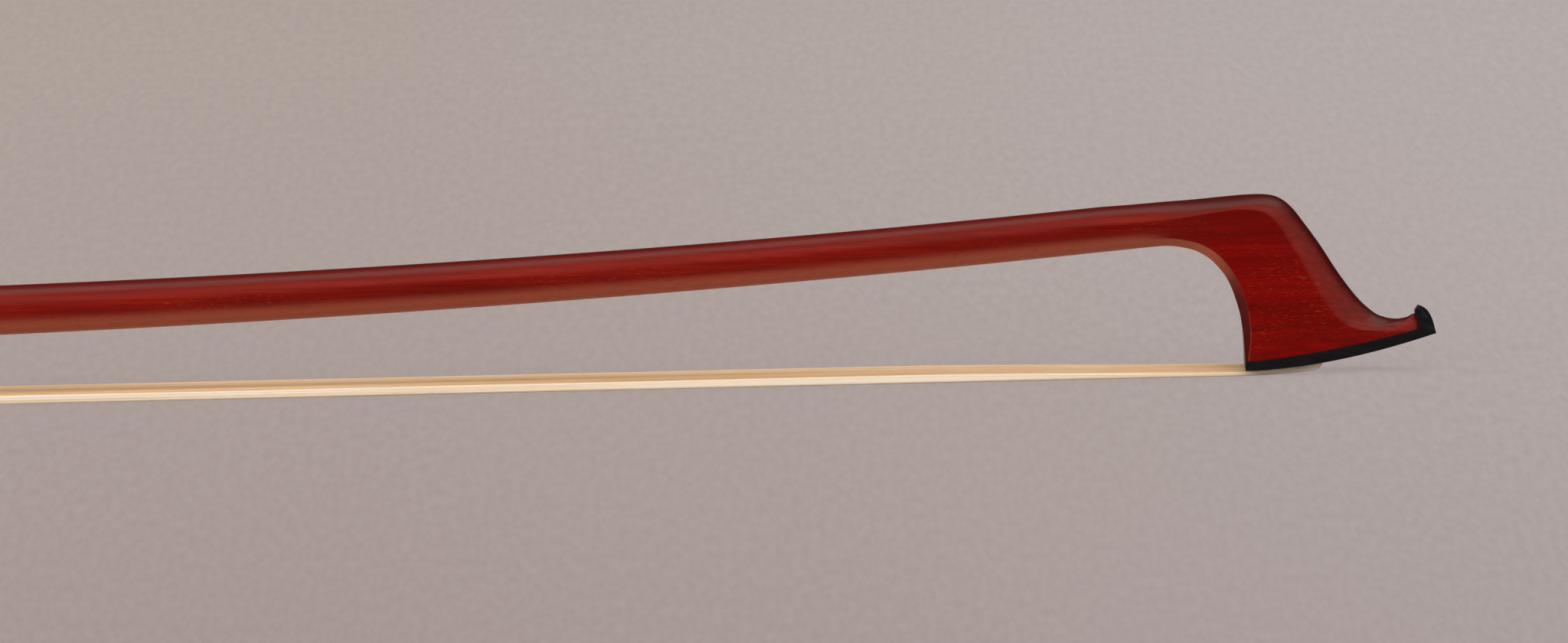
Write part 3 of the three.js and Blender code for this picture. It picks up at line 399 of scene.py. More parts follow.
THROAT_STEPS, CHAMFER_STEPS, CHEEK_STEPS, BEVEL_STEPS = 4, 3, 14, 18
RIDGE_STEPS = RING_SIDES // 2 - THROAT_STEPS - CHAMFER_STEPS - CHEEK_STEPS - BEVEL_STEPS - 6


def half_section(throat, ridge, chamfer_share, bevel_share, ridge_share):
    """Half a section of the head from throat to ridge, as depths and half widths."""
    height = (ridge - throat).length
    chamfer = chamfer_share * THROAT_CHAMFER
    bevel = min(bevel_share * RIDGE_BEVEL, height - 2 * chamfer)

    def half_width(depth):
        point = throat.lerp(ridge, depth / height)
        return cheek_half_width(point.x, point.y)

    flat = Vector((0, half_width(0) - chamfer_share * THROAT_INSET))
    shoulder = Vector((chamfer, half_width(chamfer)))
    rise = Vector((chamfer + 1, half_width(chamfer + 1)))
    low_arc = edge_arc(flat, Vector((0, 0)), shoulder, CHAMFER_EDGE)
    high_arc = edge_arc(shoulder, flat, rise, CHAMFER_EDGE)
    half = stretch(Vector((0, 0)), low_arc[0], THROAT_STEPS) + low_arc[:-1]
    half += stretch(low_arc[-1], high_arc[0], CHAMFER_STEPS) + high_arc[:-1]
    cheek_start = high_arc[-1].x
    for k in range(CHEEK_STEPS):
        depth = lerp(cheek_start, height - bevel, k / CHEEK_STEPS)
        half.append(Vector((depth, half_width(depth))))
    ridge_half = ridge_share * half_width(height)
    for k in range(BEVEL_STEPS + 1):
        turn = k / BEVEL_STEPS * math.pi / 2
        depth = height - bevel * (1 - math.sin(turn) ** (2 / BEVEL_POWER))
        share = max(math.cos(turn), 0) ** (2 / BEVEL_POWER)
        half.append(Vector((depth, lerp(ridge_half, half_width(depth), share))))
    for k in range(1, RIDGE_STEPS + 1):
        half.append(Vector((height, ridge_half * (1 - k / RIDGE_STEPS))))
    return half, height


def head_ring(station):
    scales = (FACE_LENGTH, HEAD_HEIGHT, FACE_LENGTH, HEAD_HEIGHT)
    rows = [[share * scale for share, scale in zip(row, scales)] for row in HEAD_STATIONS]
    shares = [row[4:] for row in HEAD_STATIONS]
    last = len(rows) - 1
    row = min(int(station * last), last - 1)
    chamfer, bevel, ridge_width, roundness = (
        lerp(a, b, station * last - row) for a, b in zip(shares[row], shares[row + 1])
    )
    throat_x, throat_z, ridge_x, ridge_z = curve_point(rows, station)
    throat, ridge = Vector((throat_x, throat_z)), Vector((ridge_x, ridge_z))
    half, height = half_section(throat, ridge, chamfer, bevel, ridge_width)
    ring = []
    for k in range(RING_SIDES):
        step = min(k, RING_SIDES - k)
        angle = math.pi * step / (RING_SIDES // 2) - math.pi / 2
        depth = lerp(half[step].x, height / 2 * (1 + math.sin(angle)), roundness)
        across = lerp(half[step].y, height / 2 * math.cos(angle), roundness)
        point = throat.lerp(ridge, depth / height)
        side = 1 if k <= RING_SIDES // 2 else -1
        ring.append(Vector((HEAD_X + point.x, side * across, PLATE_STANDOFF + point.y)))
    return ring


def at_head(outline):
    """An outline in the head's own X and Z, moved to its place."""
    return [(HEAD_X + x, PLATE_STANDOFF + z) for x, z in outline]


CUT_MARGIN = 3  # by which a cutting shape passes the piece that it cuts
BUTT_BEVEL = 0.3  # of the handle's end
HANDLE_MIDDLE = -30  # along the handle, where one section lies between its end and the leather
ROUNDING_STEPS, SHAFT_STEPS, HEAD_STEPS = 8, 110, 150
FACE_STEPS, WALL_STEPS = 40, 10
WALL_SHARE = 0.6  # of the nose's back that the wood is cut along
WOOD_CREASE, PLATE_CREASE = 28, 30  # in degrees


def mortise_cut():
    """What the mortise takes out of the head, and its window out of the plate."""
    low, high = MORTISE
    box = [(low, -CUT_MARGIN), (high, -CUT_MARGIN), (high, MORTISE_DEPTH), (low, MORTISE_DEPTH)]
    return prism("mortise_cut", at_head(box), MORTISE_WIDTH / 2)


def face_cut():
    """What is cut away under the head, along the plate and up behind its nose."""
    wall = NOSE_BACK[0][0] * FACE_LENGTH - JOINT_GAP
    edge = [(-CUT_MARGIN, face_top(0) + JOINT_GAP)]
    for k in range(1, FACE_STEPS + 1):
        x = k / FACE_STEPS * wall
        edge.append((x, face_top(x) + JOINT_GAP))
    for k in range(1, WALL_STEPS + 1):
        x, z = curve_point(NOSE_BACK, k / WALL_STEPS * WALL_SHARE)
        edge.append((x * FACE_LENGTH - JOINT_GAP, z * HEAD_HEIGHT))
    front, middle = FACE_LENGTH + CUT_MARGIN, HEAD_HEIGHT / 2
    edge += [(edge[-1][0], middle), (front, middle), (front, -CUT_MARGIN), (-CUT_MARGIN, -CUT_MARGIN)]
    return prism("face_cut", at_head(edge), FACE_REAR_WIDTH)


def make_stick():
    """The stick in one piece with its head: a skin over sections, cut along the face.

    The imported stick's slot for the eyelet, bore for the screw and nipple are missing here, so the
    eyelet and the screw pass through this one's wood.
    """
    rounding = [ROUNDING_START + ROUNDING_LENGTH * k / ROUNDING_STEPS for k in range(ROUNDING_STEPS + 1)]
    rings = [handle_ring(-HANDLE_END, -BUTT_BEVEL)]
    rings += [handle_ring(place) for place in [BUTT_BEVEL - HANDLE_END, HANDLE_MIDDLE] + rounding]
    start = distance_of(rounding[-1])
    for k in range(1, SHAFT_STEPS + 1):
        rings.append(shaft_ring(lerp(start, NECK_DISTANCE, k / SHAFT_STEPS)))
    rings += [head_ring(k / HEAD_STEPS) for k in range(HEAD_STEPS + 1)]
    stick = skinned("stick_wood", rings)
    carve(stick, [face_cut(), mortise_cut()], WOOD_CREASE)
    return stick


# Face plate

# The nose's plan at each level, from its back to its front ridge: place and width as shares.
NOSE_PLAN = [(0, 0.88), (0.04, 0.96), (0.1, 1), (0.3, 1), (0.6, 1), (0.78, 0.86), (0.92, 0.5), (1, 0.26)]
NOSE_LEVELS = 24
NOSE_TIP_WIDTH = 0.84  # as a share of the width at its root
NOSE_BACK_ROOT = (NOSE_BACK[0][0], 0.19)  # where the nose starts inside the plate, as shares
NOSE_FRONT_ROOT = (0.9985, 0.178)
NOSE_CORNER = 0.2  # how thick the plate still is under the nose's front corner
PLATE_STEPS = 60
PLATE_END_SHARE = 0.034  # of the plate's length, over which it thins to that corner
PLATE_SOFTNESS = 0.12  # rounding of its long edges


def mirrored(ring):
    """Half a ring and its mirror image across the bow."""
    return ring + [Vector((p.x, -p.y, p.z)) for p in reversed(ring)]


def plate_section(x, bottom, top, half_width):
    """A section of the plate across the bow, with softened edges."""
    soft = min(PLATE_SOFTNESS, (top - bottom) / 4, half_width / 4)
    near = 0.3 * soft
    side = [
        (half_width - soft, bottom),
        (half_width - near, bottom + near),
        (half_width, bottom + soft),
        (half_width, top - soft),
        (half_width - near, top - near),
        (half_width - soft, top),
    ]
    return mirrored([Vector((HEAD_X + x, y, PLATE_STANDOFF + z)) for y, z in side])


def make_nose():
    """The hooked nose: level by level from inside the plate up to its tip, narrow in front."""
    rear_line = [NOSE_BACK_ROOT] + NOSE_BACK
    front_line = [NOSE_FRONT_ROOT] + NOSE_FRONT[:-1][::-1]
    rings = []
    for k in range(NOSE_LEVELS + 1):
        level = k / NOSE_LEVELS
        rear, fore = curve_point(rear_line, level), curve_point(front_line, level)
        ring = []
        for along, width_share in NOSE_PLAN:
            x = lerp(rear[0], fore[0], along) * FACE_LENGTH
            z = lerp(rear[1], fore[1], along) * HEAD_HEIGHT
            half_width = face_half_width(x) * width_share * lerp(1, NOSE_TIP_WIDTH, level**2)
            ring.append(Vector((HEAD_X + x, half_width, PLATE_STANDOFF + z)))
        rings.append(mirrored(ring))
    return skinned("nose_blank", rings)


def make_face_plate():
    """The black face plate, its window for the hair and its hooked nose."""
    rings = []
    for k in range(PLATE_STEPS + 1):
        share = k / PLATE_STEPS
        x = share * FACE_LENGTH
        top = lerp(face_bottom(x) + NOSE_CORNER, face_top(x), clamp((1 - share) / PLATE_END_SHARE))
        rings.append(plate_section(x, face_bottom(x), top, face_half_width(x)))
    plate = skinned("face_plate", rings)
    combine(plate, [make_nose()], "UNION")
    carve(plate, [mortise_cut()], PLATE_CREASE)
    return plate


# Hair

HAIR_HEAD_WIDTH = 8.8
HAIR_FROG_WIDTH = 12
HAIR_HEAD_THICKNESS = 0.86
HAIR_CURL_THICKNESS = 1.05
HAIR_MIDDLE_THICKNESS = 1.54
HAIR_FROG_THICKNESS = 1.0
HAIR_CORNER = 0.42  # rounding of the ribbon's edges, or less where it is thin
CORNERS = [(1, 1), (1, -1), (-1, -1), (-1, 1)]
HAIR_FLOOR = 0.0  # the ribbon's lowest hairs over the surface it stands on
FERRULE_WALL = 0.55
SWELL = 0.08  # share of the free hair over which the ribbon swells behind the head
THINNING = 0.08  # and over which it thins in front of the ferrule
CLIMB_START = 0.6  # share of the free hair from which its lower side rises to the ferrule
OUTLINE_STEPS = 168  # furrows and ridges round the ribbon
FURROW = 0.045
FURROW_WANDER = 0.6  # of a furrow's depth, by which it varies along the ribbon
FURROW_SINK = 0.03  # of the ridges under the ribbon's outline
HAIR_DIAMETER = 0.22
HAIR_SINK = 0.01  # of a loose hair under the ribbon's outline
HAIR_SIDES = 5
HAIR_CREASE = 60
LOOSE_HAIRS = 150
# Hairs lying on top get a tan copy of the hair's finish, which is painted shade.
SHADE_FACING = 0.45  # the sine of the slope above which a hair counts as lying on top
BEND_RADIUS = 1.0
BEND_STEPS = 6
CURL_STEPS = 7
HEAD_RISE = 3.6  # of the hair up the head's mortise
ACROSS = Vector((0, 1, 0))
FREE_SHARES = [0, 0.004, 0.01, 0.02, 0.033, 0.05, 0.075, 0.11, 0.15, 0.2, 0.26, 0.33, 0.4, 0.48]
FREE_SHARES += [0.56, 0.64, 0.72, 0.8, 0.87, 0.925, 0.96, 0.985, 1, 1.0065]


def outline_point(half_width, half_thickness, share, outward=0.0):
    """A place round the ribbon's rounded outline: across, up and the angle it faces."""
    corner = min(HAIR_CORNER, 0.9 * half_thickness)
    middles = [(side * (half_width - corner), up * (half_thickness - corner)) for side, up in CORNERS]
    arc = math.pi / 2 * corner
    left = share % 1 * (4 * (half_width + half_thickness - 2 * corner) + 4 * arc)
    for k in range(4):
        before, after = Vector(middles[k - 1]), Vector(middles[k])
        angle = (1 - k) * math.pi / 2
        length = (after - before).length
        if left <= length:
            middle = before.lerp(after, left / length)
            break
        left -= length
        if left <= arc or k == 3:
            middle = after
            angle -= min(left / arc, 1) * math.pi / 2
            break
        left -= arc
    reach = corner + outward
    return middle.x + reach * math.cos(angle), middle.y + reach * math.sin(angle), angle


def free_hair(share):
    """Middle height, half width and half thickness of the ribbon between head and ferrule."""
    fullness_share = min(share / SWELL, (1 - share) / THINNING, 1)
    ends = lerp(HAIR_HEAD_THICKNESS, HAIR_FROG_THICKNESS, share)
    thickness = lerp(ends, HAIR_MIDDLE_THICKNESS, smooth(fullness_share))
    low = lerp(HAIR_FLOOR, FERRULE_WALL + SEAT, smooth((share - CLIMB_START) / (1 - CLIMB_START)))
    return low + thickness / 2, lerp(HAIR_HEAD_WIDTH, HAIR_FROG_WIDTH, share) / 2, thickness / 2


def bent_up(x, z, half_width, half_thickness, rise, ahead):
    """A quarter turn of the ribbon up a mortise's wall, then straight up it by a height."""
    stations = []
    for k in range(BEND_STEPS + 1):
        turn = k / BEND_STEPS * math.pi / 2
        along, up = ahead * BEND_RADIUS * math.sin(turn), BEND_RADIUS * (1 - math.cos(turn))
        place = Vector((x + along, 0, z + up))
        stations.append((place, half_width, half_thickness, ahead * turn))
    top = stations[-1][0] + Vector((0, 0, rise))
    stations.append((top, half_width, half_thickness, ahead * math.pi / 2))
    return stations


def head_stations():
    """The ribbon from the top of the head's mortise, under the plate and along to the ferrule."""
    bend = MORTISE[1] - SEAT - HAIR_HEAD_THICKNESS / 2 - BEND_RADIUS
    narrow = MORTISE_WIDTH / 2 - SEAT
    under = []
    for k in range(1, CURL_STEPS + 1):
        share = k / CURL_STEPS
        x = share * bend
        thickness = lerp(HAIR_HEAD_THICKNESS, HAIR_CURL_THICKNESS, smooth(share))
        half_width = lerp(HAIR_HEAD_WIDTH / 2, narrow, share)
        z = PLATE_STANDOFF + face_bottom(x) - SEAT / 4 - thickness / 2
        under.append((Vector((HEAD_X + x, 0, z)), half_width, thickness / 2, 0.0))
    last, half_width, half_thickness, _ = under.pop()
    under += bent_up(last.x, last.z, half_width, half_thickness, HEAD_RISE, 1)
    stations = under[::-1]
    for share in FREE_SHARES:
        z, half_width, half_thickness = free_hair(min(share, 1))
        if share > 1:
            half_width -= SEAT
        stations.append((Vector((HEAD_X - share * FREE_HAIR, 0, z)), half_width, half_thickness, 0.0))
    return stations


def frog_stations():
    """The ribbon from the ferrule's mouth over the slide and up the frog's mortise."""
    low = FERRULE_WALL + SEAT + HAIR_FROG_THICKNESS / 2
    high = span("slide_base")[1].z + 2 * SEAT + HAIR_FROG_THICKNESS / 2
    ferrule_low, _ = span("ferrule")
    knot_low, knot_high = span("hair_frog_knot")
    half_thickness = HAIR_FROG_THICKNESS / 2
    narrow = knot_high.y
    ramp = span("spread_wedge")[0].x + 2 * SEAT
    stations = [(Vector((MOUTH_X - SEAT, 0, low)), HAIR_FROG_WIDTH / 2 - SEAT, half_thickness, 0.0)]
    slide_half_width = span("slide_base")[1].y
    for k in range(BEND_STEPS + 1):
        share = k / BEND_STEPS
        place = Vector((lerp(ramp, ferrule_low.x, share), 0, lerp(low, high, smooth(share))))
        half_width = lerp(HAIR_FROG_WIDTH / 2 - SEAT, slide_half_width, share)
        stations.append((place, half_width, half_thickness, 0.0))
    stations.append((Vector((span("frog_plug")[1].x, 0, high)), narrow, half_thickness, 0.0))
    bend = knot_low.x + half_thickness + BEND_RADIUS
    rise = span("hair_frog_bend")[1].z - high - BEND_RADIUS
    return stations + bent_up(bend, high, narrow, half_thickness, rise, -1)


def ribbon_point(station, share, outward):
    """A place that stands out from a station's outline, and the way the ribbon's top faces."""
    middle, half_width, half_thickness, turn = station
    out = Vector((-math.sin(turn), 0, math.cos(turn)))
    across, up, _ = outline_point(half_width, half_thickness, share, outward)
    return middle + out * up + ACROSS * across, out


def furrowed_rings(stations, travelled, draw):
    """Sections of the ribbon, whose furrows wander in depth as they run along it."""
    waves = [(draw.uniform(0, 2 * math.pi), draw.uniform(40, 160)) for _ in range(OUTLINE_STEPS)]
    rings = []
    for station, distance in zip(stations, travelled):
        ring = []
        for k, (phase, length) in enumerate(waves):
            furrow = FURROW * (k % 2 + FURROW_WANDER * math.sin(distance / length + phase))
            ring.append(ribbon_point(station, k / OUTLINE_STEPS, -furrow - FURROW_SINK)[0])
        rings.append(ring)
    return rings


def loose_hair(stations, travelled, share, draw):
    """Sections of one hair that wanders along the ribbon's surface."""
    phase, length = draw.uniform(0, 2 * math.pi), draw.uniform(30, 90)
    drift = draw.uniform(0.001, 0.006)
    radius = HAIR_DIAMETER / 2 * draw.uniform(0.8, 1.15)
    rings = []
    for station, distance in zip(stations, travelled):
        place = share + drift * math.sin(distance / length + phase)
        core, out = ribbon_point(station, place, -radius - HAIR_SINK)
        rings.append(circle(core, ACROSS, out, radius, HAIR_SIDES))
    return rings


def make_hair(name, stations, loose_hairs, seed):
    """A ribbon of hair: a furrowed body with loose hairs along it. Its top hairs are painted tan as shade.
    """
    draw = random.Random(seed)
    travelled = [0.0]
    for before, after in zip(stations, stations[1:]):
        travelled.append(travelled[-1] + (after[0] - before[0]).length)
    _, half_width, half_thickness, _ = stations[len(stations) // 2]

    def is_shaded_top(share):
        return int(math.sin(outline_point(half_width, half_thickness, share)[2]) > SHADE_FACING)

    rings = furrowed_rings(stations, travelled, draw)
    points, faces = skin(rings)
    shaded_tops = [is_shaded_top((k + 0.5) / OUTLINE_STEPS) for k in range(OUTLINE_STEPS)]
    finishes = shaded_tops * (len(rings) - 1) + [0, 0]
    for k in range(loose_hairs):
        share = (k + draw.uniform(-0.45, 0.45)) / loose_hairs
        hair_points, hair_faces = skin(loose_hair(stations, travelled, share, draw), offset=len(points))
        points += hair_points
        faces += hair_faces
        finishes += [is_shaded_top(share)] * len(hair_faces)
    ribbon = make_piece(name, points, faces, HAIR_CREASE)
    ribbon.data.materials.append(cream_hair)
    ribbon.data.materials.append(tan_hair)
    ribbon.data.polygons.foreach_set("material_index", finishes)
    return ribbon


# Finishes


class Nodes:
    """A node tree under construction. What feeds an input is a socket or a plain value."""

    def __init__(self, tree):
        self.tree = tree

    def node(self, kind, **settings):
        made = self.tree.nodes.new(kind)
        for key, value in settings.items():
            setattr(made, key, value)
        return made

    def feed(self, target, value):
        if isinstance(value, bpy.types.NodeSocket):
            self.tree.links.new(value, target)
        else:
            target.default_value = value

    def feed_all(self, inputs, values):
        for name, value in values.items():
            self.feed(inputs[name.replace("_", " ")], value)

    def place(self, output="Object"):
        return self.node("ShaderNodeTexCoord").outputs[output]

    def parts(self, vector):
        made = self.node("ShaderNodeSeparateXYZ")
        self.feed(made.inputs[0], vector)
        return made.outputs

    def mapped(self, place, scale):
        made = self.node("ShaderNodeMapping")
        self.feed_all(made.inputs, {"Vector": place, "Scale": scale})
        return made.outputs["Vector"]

    def math(self, operation, *values):
        made = self.node("ShaderNodeMath", operation=operation)
        for socket, value in zip(made.inputs, values):
            self.feed(socket, value)
        return made.outputs[0]

    def range(self, source, low, high, start=0.0, end=1.0, **settings):
        """Maps a socket's values between start and end to low and high."""
        made = self.node("ShaderNodeMapRange", **settings)
        ends = {"From_Min": start, "From_Max": end, "To_Min": low, "To_Max": high}
        self.feed_all(made.inputs, {"Value": source, **ends})
        return made.outputs["Result"]

    def noise(self, place, scale, detail=2.0, roughness=0.5):
        made = self.node("ShaderNodeTexNoise")
        values = {"Vector": place, "Scale": scale, "Detail": detail, "Roughness": roughness}
        self.feed_all(made.inputs, values)
        return made.outputs["Fac"]


class Finish(Nodes):
    """A material under construction, with its Principled shader."""

    def __init__(self, name):
        self.material = bpy.data.materials.new(name)
        self.material.use_nodes = True
        super().__init__(self.material.node_tree)
        self.shader = self.tree.nodes["Principled BSDF"]

    def surface(self, **values):
        self.feed_all(self.shader.inputs, values)

    def group(self, tree, **values):
        made = self.node("ShaderNodeGroup")
        made.node_tree = tree
        self.feed_all(made.inputs, values)
        return made.outputs

    def ramp(self, source, *stops):
        made = self.node("ShaderNodeValToRGB")
        elements = made.color_ramp.elements
        while len(elements) < len(stops):
            elements.new(0.5)
        for element, (place, color) in zip(elements, stops):
            element.position = place
            element.color = (*color, 1)
        self.feed(made.inputs["Fac"], source)
        return made.outputs["Color"]

    def mix(self, share, one, other, blend="MIX"):
        made = self.node("ShaderNodeMix", data_type="RGBA", blend_type=blend)
        for socket, value in zip((made.inputs[0], made.inputs[6], made.inputs[7]), (share, one, other)):
            self.feed(socket, (*value, 1) if isinstance(value, tuple) else value)
        return made.outputs[2]

    def bump(self, source, strength, distance):
        made = self.node("ShaderNodeBump")
        self.feed_all(made.inputs, {"Strength": strength, "Distance": distance, "Height": source})
        self.surface(Normal=made.outputs["Normal"])


class Effect(Nodes):
    """A shader node group under construction. Its inputs and outputs are plain numbers."""

    def __init__(self, name, outputs, **inputs):
        super().__init__(bpy.data.node_groups.new(name, "ShaderNodeTree"))
        for key, value in inputs.items():
            self.socket(key.replace("_", " "), "INPUT").default_value = value
        for output in outputs:
            self.socket(output, "OUTPUT")
        self.given = self.tree.nodes.new("NodeGroupInput").outputs
        self.result = self.tree.nodes.new("NodeGroupOutput").inputs

    def socket(self, name, direction):
        return self.tree.interface.new_socket(name, in_out=direction, socket_type="NodeSocketFloat")


def wood_grain():
    """Fibres, slow bands, dark pores and pale flecks that run along X."""
    outputs = ("Fibre", "Band", "Pore", "Fleck")
    effect = Effect("wood_grain", outputs, Fibre_Scale=1500.0, Pore_Scale=4200.0, Length=30.0)
    x, y, z = effect.parts(effect.place())
    pore_scale = effect.given["Pore Scale"]

    def drawn_out(length):
        """The place with X shortened, so that what is drawn there gets long along the wood."""
        made = effect.node("ShaderNodeCombineXYZ")
        for socket, value in zip(made.inputs, (effect.math("DIVIDE", x, length), y, z)):
            effect.feed(socket, value)
        return made.outputs[0]

    long = drawn_out(effect.given["Length"])
    pore = effect.noise(drawn_out(8.0), pore_scale)
    fleck = effect.noise(drawn_out(9.0), effect.math("MULTIPLY", pore_scale, 1.13))
    where = effect.noise(drawn_out(2.0), 70.0, 3.0)
    flecked, gathered = effect.range(fleck, 0, 1, 0.60, 0.72), effect.range(where, 0, 1, 0.5, 0.6)
    results = {
        "Fibre": effect.noise(long, effect.given["Fibre Scale"], 5.0, 0.62),
        "Band": effect.noise(long, 260.0, 3.0, 0.55),
        "Pore": effect.range(pore, 0, 1, 0.6, 0.7),
        "Fleck": effect.math("MULTIPLY", flecked, gathered),
    }
    effect.feed_all(effect.result, results)
    return effect.tree


def facing():
    """How far a surface faces down, away from both sides and squarely to a side: 0 to 1 each."""
    effect = Effect("facing", ("Down", "Edge", "Side"))
    _, across, up = effect.parts(effect.place("Normal"))
    side = effect.math("ABSOLUTE", across)
    down = effect.math("MULTIPLY", up, -1.0)
    edge = effect.math("SUBTRACT", 1.0, side)
    for name, value, start, end in (
        ("Down", down, 0.1, 0.66),
        ("Edge", edge, 0.05, 0.5),
        ("Side", side, 0.93, 0.985),
    ):
        share = effect.range(value, 0, 1, start, end, interpolation_type="SMOOTHSTEP")
        effect.feed(effect.result[name], share)
    return effect.tree


def wear():
    """Cloudy tarnish and fine scratches that run along X."""
    effect = Effect("wear", ("Cloud", "Scratch"), Scale=160.0)
    place = effect.place()
    scale = effect.given["Scale"]
    cloud = effect.noise(place, scale, 4.0, 0.6)
    drawn = effect.mapped(place, (0.06, 1, 1))
    scratch = effect.noise(drawn, effect.math("MULTIPLY", scale, 45.0), 3.0, 0.7)
    effect.feed_all(effect.result, {"Cloud": effect.range(cloud, 0, 1, 0.3, 0.7), "Scratch": scratch})
    return effect.tree


GRAIN = wood_grain()
FACING = facing()
WEAR = wear()
# From HEAD_START on, the head's flat sides are made a deeper red and its edges a darker painted shade.
HEAD_START, HEAD_FULL = 0.300, 0.325  # along X in metres: from the shaft to the head's deeper red


def red_wood():
    """Oiled red bow wood: long fibres, short dark pores, golden flecks, painted edge shade and bounce
    light.
    """
    finish = Finish("red_wood")
    grain = finish.group(GRAIN, Fibre_Scale=1500.0, Pore_Scale=9000.0, Length=34.0)
    faces = finish.group(FACING)
    dark, middle, light = (0.126, 0.0028, 0.0011), (0.176, 0.0045, 0.0018), (0.24, 0.009, 0.003)
    fibre = finish.ramp(grain["Fibre"], (0.30, dark), (0.5, middle), (0.72, light))
    dull, warm = (0.86, 0.85, 0.85), (1.08, 1.3, 1.2)
    band = finish.ramp(grain["Band"], (0.34, dull), (0.52, (1, 1, 1)), (0.7, warm))
    color = finish.mix(1.0, fibre, band, "MULTIPLY")
    head = finish.range(finish.parts(finish.place())["X"], 0, 1, HEAD_START, HEAD_FULL)
    cheeks = finish.math("MULTIPLY", faces["Side"], head)
    color = finish.mix(cheeks, color, (0.92, 0.08, 0.08), "MULTIPLY")
    # Painted shade: where a surface turns away from both sides, along the stick's top and bottom and the
    # head's ridge, it is darkened, more on the head.
    painted_edge_shade = finish.mix(head, (0.082, 0.003, 0.0015), (0.028, 0.001, 0.001))
    color = finish.mix(finish.range(faces["Edge"], 0, 0.84), color, painted_edge_shade)
    # Painted light: the underside is made a paler orange-brown, standing for light bounced up from below.
    color = finish.mix(finish.range(faces["Down"], 0, 0.8), color, (0.42, 0.105, 0.055))
    color = finish.mix(finish.range(grain["Pore"], 0, 0.45), color, (0.045, 0.001, 0.001))
    flecks = finish.math("MULTIPLY", grain["Fleck"], finish.range(faces["Side"], 0, 0.42))
    color = finish.mix(flecks, color, (0.40, 0.07, 0.013))
    finish.surface(Base_Color=color, Roughness=finish.range(grain["Fibre"], 0.30, 0.38))
    finish.surface(Specular_IOR_Level=0.165, Specular_Tint=(1, 0.82, 0.66, 1))
    finish.bump(grain["Pore"], 0.06, -0.00003)
    return finish.material


def ebony():
    """Polished black wood with a close, barely seen grain."""
    finish = Finish("ebony")
    grain = finish.group(GRAIN, Fibre_Scale=2400.0, Pore_Scale=4200.0, Length=22.0)
    dark, middle, light = (0.003, 0.0026, 0.0032), (0.0065, 0.0056, 0.0066), (0.018, 0.014, 0.014)
    color = finish.ramp(grain["Fibre"], (0.35, dark), (0.6, middle), (0.8, light))
    finish.surface(Base_Color=color, Roughness=finish.range(grain["Band"], 0.28, 0.42))
    finish.surface(Specular_IOR_Level=0.16)
    finish.bump(grain["Pore"], 0.1, -0.00003)
    return finish.material


def horsehair(name, dark, middle, light):
    """Horsehair, each hair a little lighter or darker than the next."""
    finish = Finish(name)
    grain = finish.group(GRAIN, Fibre_Scale=2600.0, Pore_Scale=3000.0, Length=220.0)
    color = finish.ramp(grain["Fibre"], (0.3, dark), (0.5, middle), (0.7, light))
    finish.surface(Base_Color=color, Roughness=0.42, Specular_IOR_Level=0.3)
    return finish.material


def metal(name, bright, dull, gloss, satin):
    """A worn metal: bright to dull in clouds, with fine scratches."""
    finish = Finish(name)
    worn = finish.group(WEAR, Scale=190.0)
    color = finish.ramp(worn["Cloud"], (0.1, dull), (0.55, bright), (1, bright))
    roughness = finish.range(worn["Scratch"], gloss, satin, 0.3, 0.7)
    finish.surface(Base_Color=color, Roughness=roughness, Metallic=1.0)
    finish.bump(worn["Scratch"], 0.08, 0.00002)
    return finish.material


def nacre():
    """Mother of pearl: wavy layers of pale green, rose and grey under a gloss."""
    finish = Finish("nacre")
    place = finish.place()
    waves = finish.node("ShaderNodeTexWave", wave_type="BANDS", bands_direction="DIAGONAL")
    finish.feed_all(waves.inputs, {"Vector": place, "Scale": 60.0, "Distortion": 9.0})
    finish.feed_all(waves.inputs, {"Detail": 3.0, "Detail_Scale": 1.6})
    layers = waves.outputs["Fac"]
    green, cream = (0.58, 0.68, 0.64), (0.78, 0.80, 0.75)
    rose, white = (0.80, 0.71, 0.72), (0.86, 0.87, 0.84)
    color = finish.ramp(layers, (0.0, green), (0.35, cream), (0.65, rose), (1, white))
    glint = finish.range(finish.noise(place, 260.0, 3.0), 0.05, 0.35, 0.3, 0.7)
    finish.surface(Base_Color=color, Roughness=finish.range(layers, 0.12, 0.24), Metallic=glint)
    finish.surface(Specular_IOR_Level=0.7, Coat_Weight=0.6, Coat_Roughness=0.06)
    finish.bump(layers, 0.05, 0.00005)
    return finish.material


def pale_wood():
    """Bare pale wood of plugs and wedges."""
    finish = Finish("pale_wood")
    grain = finish.group(GRAIN, Fibre_Scale=2200.0, Pore_Scale=5200.0, Length=20.0)
    dark, middle, light = (0.44, 0.28, 0.14), (0.58, 0.40, 0.22), (0.68, 0.50, 0.31)
    color = finish.ramp(grain["Fibre"], (0.3, dark), (0.5, middle), (0.7, light))
    color = finish.mix(finish.range(grain["Pore"], 0, 0.5), color, (0.25, 0.13, 0.06))
    finish.surface(Base_Color=color, Roughness=finish.range(grain["Fibre"], 0.55, 0.72))
    finish.bump(grain["Pore"], 0.3, -0.00004)
    return finish.material


def grip_leather():
    """Dark smooth leather: pebbled grain, paler where the thumb has worn it."""
    finish = Finish("grip_leather")
    pebbles = finish.node("ShaderNodeTexVoronoi", feature="F1")
    finish.feed_all(pebbles.inputs, {"Vector": finish.place(), "Scale": 2300.0})
    relief = pebbles.outputs["Distance"]
    worn = finish.group(WEAR, Scale=120.0)
    faces = finish.group(FACING)
    color = finish.ramp(worn["Cloud"], (0.0, (0.018, 0.011, 0.009)), (1, (0.045, 0.028, 0.02)))
    color = finish.mix(finish.range(faces["Down"], 0, 0.5), color, (0.075, 0.045, 0.03))
    color = finish.mix(finish.range(relief, 0, 0.45, 0.3, 0.9), color, (0.006, 0.004, 0.003))
    finish.surface(Base_Color=color, Roughness=finish.range(worn["Cloud"], 0.5, 0.36))
    finish.bump(relief, 0.45, -0.00012)
    return finish.material


